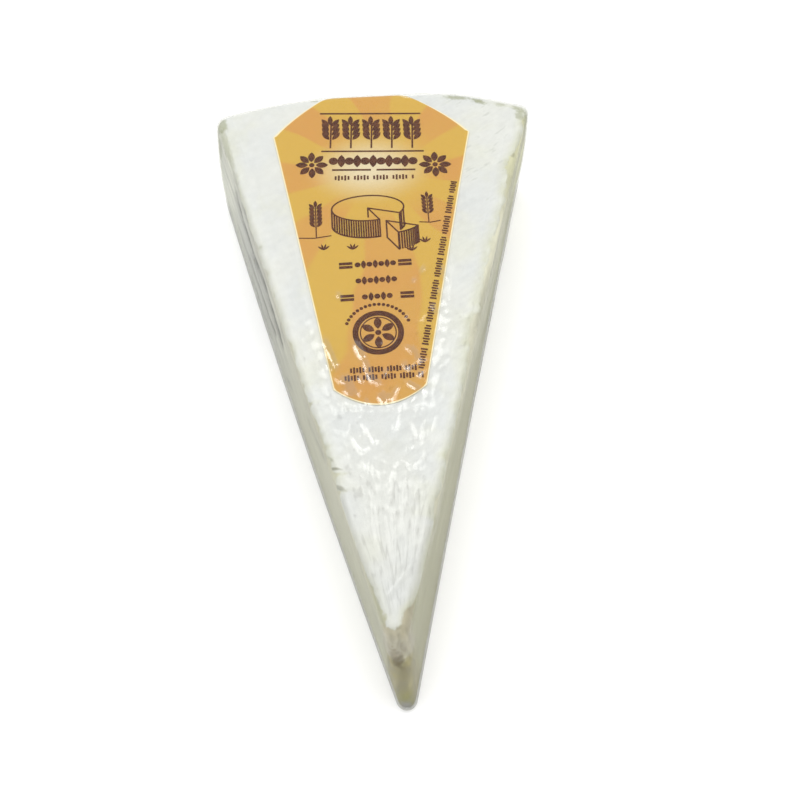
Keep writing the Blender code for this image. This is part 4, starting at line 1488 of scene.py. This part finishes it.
def film_numbers(points):
    """The named numbers of the film at each point of its skin."""
    across, along, height = points.T / MM
    on_top = ease((height - TOP_BEGINS) / 3)
    lift_share = ease((LIFT_WIDTH - off_label(points)) / LIFT_WIDTH) * ease((height - LIFT_BEGINS) / 3)
    smooth_patch = ((across - SMOOTH_PATCH[0]) / 4.5) ** 2 + ((along - SMOOTH_PATCH[1]) / 5.0) ** 2
    to_edge = np.minimum(*wall_distances(points))
    by_edge = np.exp(-(to_edge / MM / 4.0) ** 2)
    crumple = window(along, *CRUMPLED) * (1 - 0.85 * np.exp(-smooth_patch))
    crumple = np.maximum(crumple, np.maximum(0.55 * by_edge, 0.10)) * on_top
    pleats = window(along, *PLEATED) * on_top
    streaks = ease((height - 1) / 3) * (1 - on_top) * (1 - 0.7 * ease((along - 132) / 16))
    under = ease((1.3 - height) / 0.6)
    off_lap = np.abs(across - LAP_MIDDLE - 1.4 * np.sin(along / 8.0) - 0.5 * np.sin(along / 2.3)) - LAP_HALF
    lap = under * ease(0.5 - off_lap / 0.8)
    ridges = film_ridges(across, along) * on_top
    ridge = np.clip(ridges / RIDGE_FULL, 0.0, 1.0)
    return {
        "lift": FILM_LIFT * lift_share + ridges + FILM_FLOOR / 3 * lap,
        "crumple": crumple * (1 - RIDGE_STRETCH * ridge), "pleats": pleats, "streaks": streaks,
        "gathers": under * (0.25 + 0.75 * np.exp(-(to_edge / GATHER_REACH) ** 2)), "lap": lap,
        "dull": np.maximum(by_edge, 0.35 * pleats),
        "ridge": ridge * mix(RIDGE_ON_RIND, 1.0, ease(-off_label(points) / MM + 1)),
    }

# %% [markdown]
# ### The wrinkles
# All wrinkles are one kind of fold, noise bent back at its middle value, which gives round backs and sharp
# valleys as in real film. Only the space it is read in differs: even for the crumpled part, fanned out from
# the wheel's centre for the pleats, drawn out along the walls for the streaks.

# %% Film wrinkles
def film_wrinkles_tree():
    nodes, given = geometry_tree("film_wrinkles", {
        "Crumple Height": 0.24 * MM, "Crumple Size": 5.0 * MM,
        "Pleat Height": 0.07 * MM, "Pleat Angle": 0.036, "Pleat Length": 15.0 * MM,
        "Streak Height": 0.16 * MM, "Streak Width": 4.0 * MM, "Streak Length": 45.0 * MM,
        "Gather Height": 0.28 * MM, "Gather Width": 4.0 * MM, "Gather Length": 24.0 * MM, "Seed": 11.0,
    })
    place = nodes.add("GeometryNodeInputPosition")
    above_floor = nodes.add("ShaderNodeSeparateXYZ", {0: place}, out="Z")
    seed, reach, angle = given["Seed"], nodes.number("reach"), nodes.number("angle")

    def folds(where, size, seed):
        """Sharp-bottomed folds from 0 to 1: noise bent back at its middle value."""
        wave = nodes.noise(where, size, detail=1, roughness=0.4, seed=seed, distortion=0.4)
        return nodes.ramp(abs(wave - 0.5), 0.0, 0.15, smooth=False)

    small = folds(place, given["Crumple Size"] * 0.5, seed + 3.0)
    crumple = small * 0.5 + folds(place, given["Crumple Size"], seed) - 0.5
    slack = nodes.patches(place, 14 * MM, 0.35, 0.6, 0.35, 1.0, seed=seed, detail=1)
    crumple = crumple * nodes.number("crumple") * slack
    fan = nodes.combine(angle / given["Pleat Angle"], reach / given["Pleat Length"])
    pleats = (folds(fan, 1.0, seed) - 0.5) * nodes.number("pleats")
    band = nodes.combine(reach / given["Streak Length"], above_floor / given["Streak Width"], angle * 3.0)
    streaks = (folds(band, 1.0, seed) - 0.5) * nodes.number("streaks")
    drawn = nodes.combine(reach / given["Gather Width"], angle * reach / given["Gather Length"])
    gathers = folds(drawn, 1.0, seed + 7.0) * nodes.number("gathers")
    wrinkle = crumple + pleats + streaks * 0.5 - gathers * 1.1
    height = crumple * given["Crumple Height"] + nodes.number("lift") + pleats * given["Pleat Height"]
    height = height + streaks * given["Streak Height"] - gathers * given["Gather Height"]
    return end_skin_tree(nodes, given, "wrinkle", wrinkle, height)

# %% [markdown]
# ### Clear film as a finish
# Real film bends light so little that it can be treated as an open window with a shine on it. A glass shader
# would cast dark shadows on the cheese and take long to render, so a Transparent shader is mixed with a
# Glossy one. The share of the shine grows at grazing angles, as on any smooth skin, and counts twice,
# because a film mirrors the light with both of its faces.

# %% Film finish
FILM_IOR = 1.45
FILM_ROUGHNESS = 0.17
FILM_DULL_ROUGHNESS = 0.50
FILM_RIDGE_ROUGHNESS = 0.11
FILM_SHINE = 1.6
FILM_RIDGE_SHINE = 5.0
FILM_SHINE_MOST = 0.26
FILM_RIDGE_SHINE_MOST = 0.34
FILM_CLEAR = (0.985, 0.987, 0.980, 1.0)
# Painted shade greys the film in its deep fold valleys; where the film overlaps itself underneath, the grey
# is the real doubled film.
FILM_FOLD_SHADE_AND_LAP = (0.88, 0.88, 0.872, 1.0)
FILM_SIDEWAYS = (0.88, 0.88, 0.86, 1.0)
FILM_MIRROR = (0.66, 0.66, 0.63, 1.0)


def film_finish():
    material, nodes, shader, place = start_finish("clear_film")
    nodes.tree.nodes.remove(shader)
    ridge = nodes.number("ridge")
    crinkle = nodes.noise(place, 0.9 * MM, seed=13.0) * ridge
    ripple = nodes.bump(crinkle * 1.2 + nodes.noise(place, 1.6 * MM, detail=3, seed=12.0), 0.06 * MM, 0.5)
    share = nodes.add("ShaderNodeFresnel", {"IOR": FILM_IOR, "Normal": ripple})
    share = share * nodes.ramp(ridge, 0.0, 1.0, FILM_SHINE, FILM_RIDGE_SHINE)
    share = nodes.math("MINIMUM", share, nodes.ramp(ridge, 0.0, 1.0, FILM_SHINE_MOST, FILM_RIDGE_SHINE_MOST))
    # The clear colour is greyed by painted shade in the fold valleys and by the doubled film on the lap.
    tint = nodes.paint(
        FILM_CLEAR, (nodes.fall(nodes.number("wrinkle"), -0.42, -0.22), FILM_FOLD_SHADE_AND_LAP),
        (nodes.number("lap"), FILM_FOLD_SHADE_AND_LAP), (nodes.ramp(share, 0.12, FILM_SHINE_MOST), FILM_SIDEWAYS),
    )
    clear = nodes.add("ShaderNodeBsdfTransparent", {"Color": tint})
    rough = nodes.ramp(nodes.number("dull"), 0.0, 1.0, FILM_ROUGHNESS, FILM_DULL_ROUGHNESS, smooth=False)
    rough = nodes.mix(ridge, rough, FILM_RIDGE_ROUGHNESS)
    shine = nodes.add("ShaderNodeBsdfGlossy", {"Color": FILM_MIRROR, "Roughness": rough, "Normal": ripple})
    surface = nodes.add("ShaderNodeMixShader", {0: share, 1: clear, 2: shine})
    nodes.fill(nodes.tree.nodes["Material Output"], {"Surface": surface})
    return material

# %% [markdown]
# ### The film is made
# The film is the slice's own skin once more, further out, with its numbers and its wrinkles. It hides the
# CAD part's shell, which is open below: this one closes under the wedge, as the real wrap does.

# %% The film
film, film_points, _ = make_skin("film", FILM_OFF_CUT, FILM_OFF_TOP, FILM_FLOOR)
for name, values in film_numbers(film_points).items():
    add_numbers(film.data, name, values)
run_tree(film, film_wrinkles_tree(), film_finish())
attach(film, "root")
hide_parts("film_wrap")

# %% [markdown]
# ## The floor
# The photograph shows no floor, only white. A very pale, matt floor comes close to that and still carries the
# faint shadow that makes the wedge stand on something.

# %% Floor
FLOOR_SIDE = 3.0
FLOOR_WHITE = colour(254, 254, 254)
floor_corners = [(x * FLOOR_SIDE / 2, y * FLOOR_SIDE / 2, 0) for x, y in ((-1, -1), (1, -1), (1, 1), (-1, 1))]
floor_data = new_mesh("floor", floor_corners, [(0, 1, 2, 3)])
floor = put_in_scene("floor", floor_data)
floor_finish, floor_nodes, floor_shader, _ = start_finish("floor_white")
floor_nodes.fill(floor_shader, {"Base Color": FLOOR_WHITE, "Roughness": 0.9, "Specular IOR Level": 0.0})
floor_data.materials.append(floor_finish)

# %% [markdown]
# ## The light
# The photograph was lit almost without shadow. A soft sky gives most of the light, and two long lamps above
# give the rest. The creases of the film mirror them, so their places decide which creases glint. A small
# strong lamp would give harder glints, but dark shadows with them.

# %% Light
SKY_STRENGTH = 1.04
LAMP_POWER = 2.65
LAMP_WIDTH = 0.30
LAMP_LENGTH = 0.50
LAMP_PLACES = [Vector((-0.32, 0.27, 0.95)), Vector((0.30, 0.27, 0.95))]

world = bpy.data.worlds.new("sky")
world.use_nodes = True
sky = world.node_tree.nodes["Background"]
sky.inputs["Color"].default_value = (1.0, 1.0, 1.0, 1.0)
sky.inputs["Strength"].default_value = SKY_STRENGTH
bpy.context.scene.world = world
for place in LAMP_PLACES:
    lamp_data = bpy.data.lights.new("softbox", "AREA")
    lamp_data.energy = LAMP_POWER
    lamp_data.shape = "RECTANGLE"
    lamp_data.size = LAMP_WIDTH
    lamp_data.size_y = LAMP_LENGTH
    lamp = put_in_scene("softbox", lamp_data)
    lamp.location = place
    lamp.rotation_euler = place.to_track_quat("Z", "Y").to_euler()
bpy.context.scene.view_settings.view_transform = "Standard"
bpy.context.scene.view_settings.look = "None"
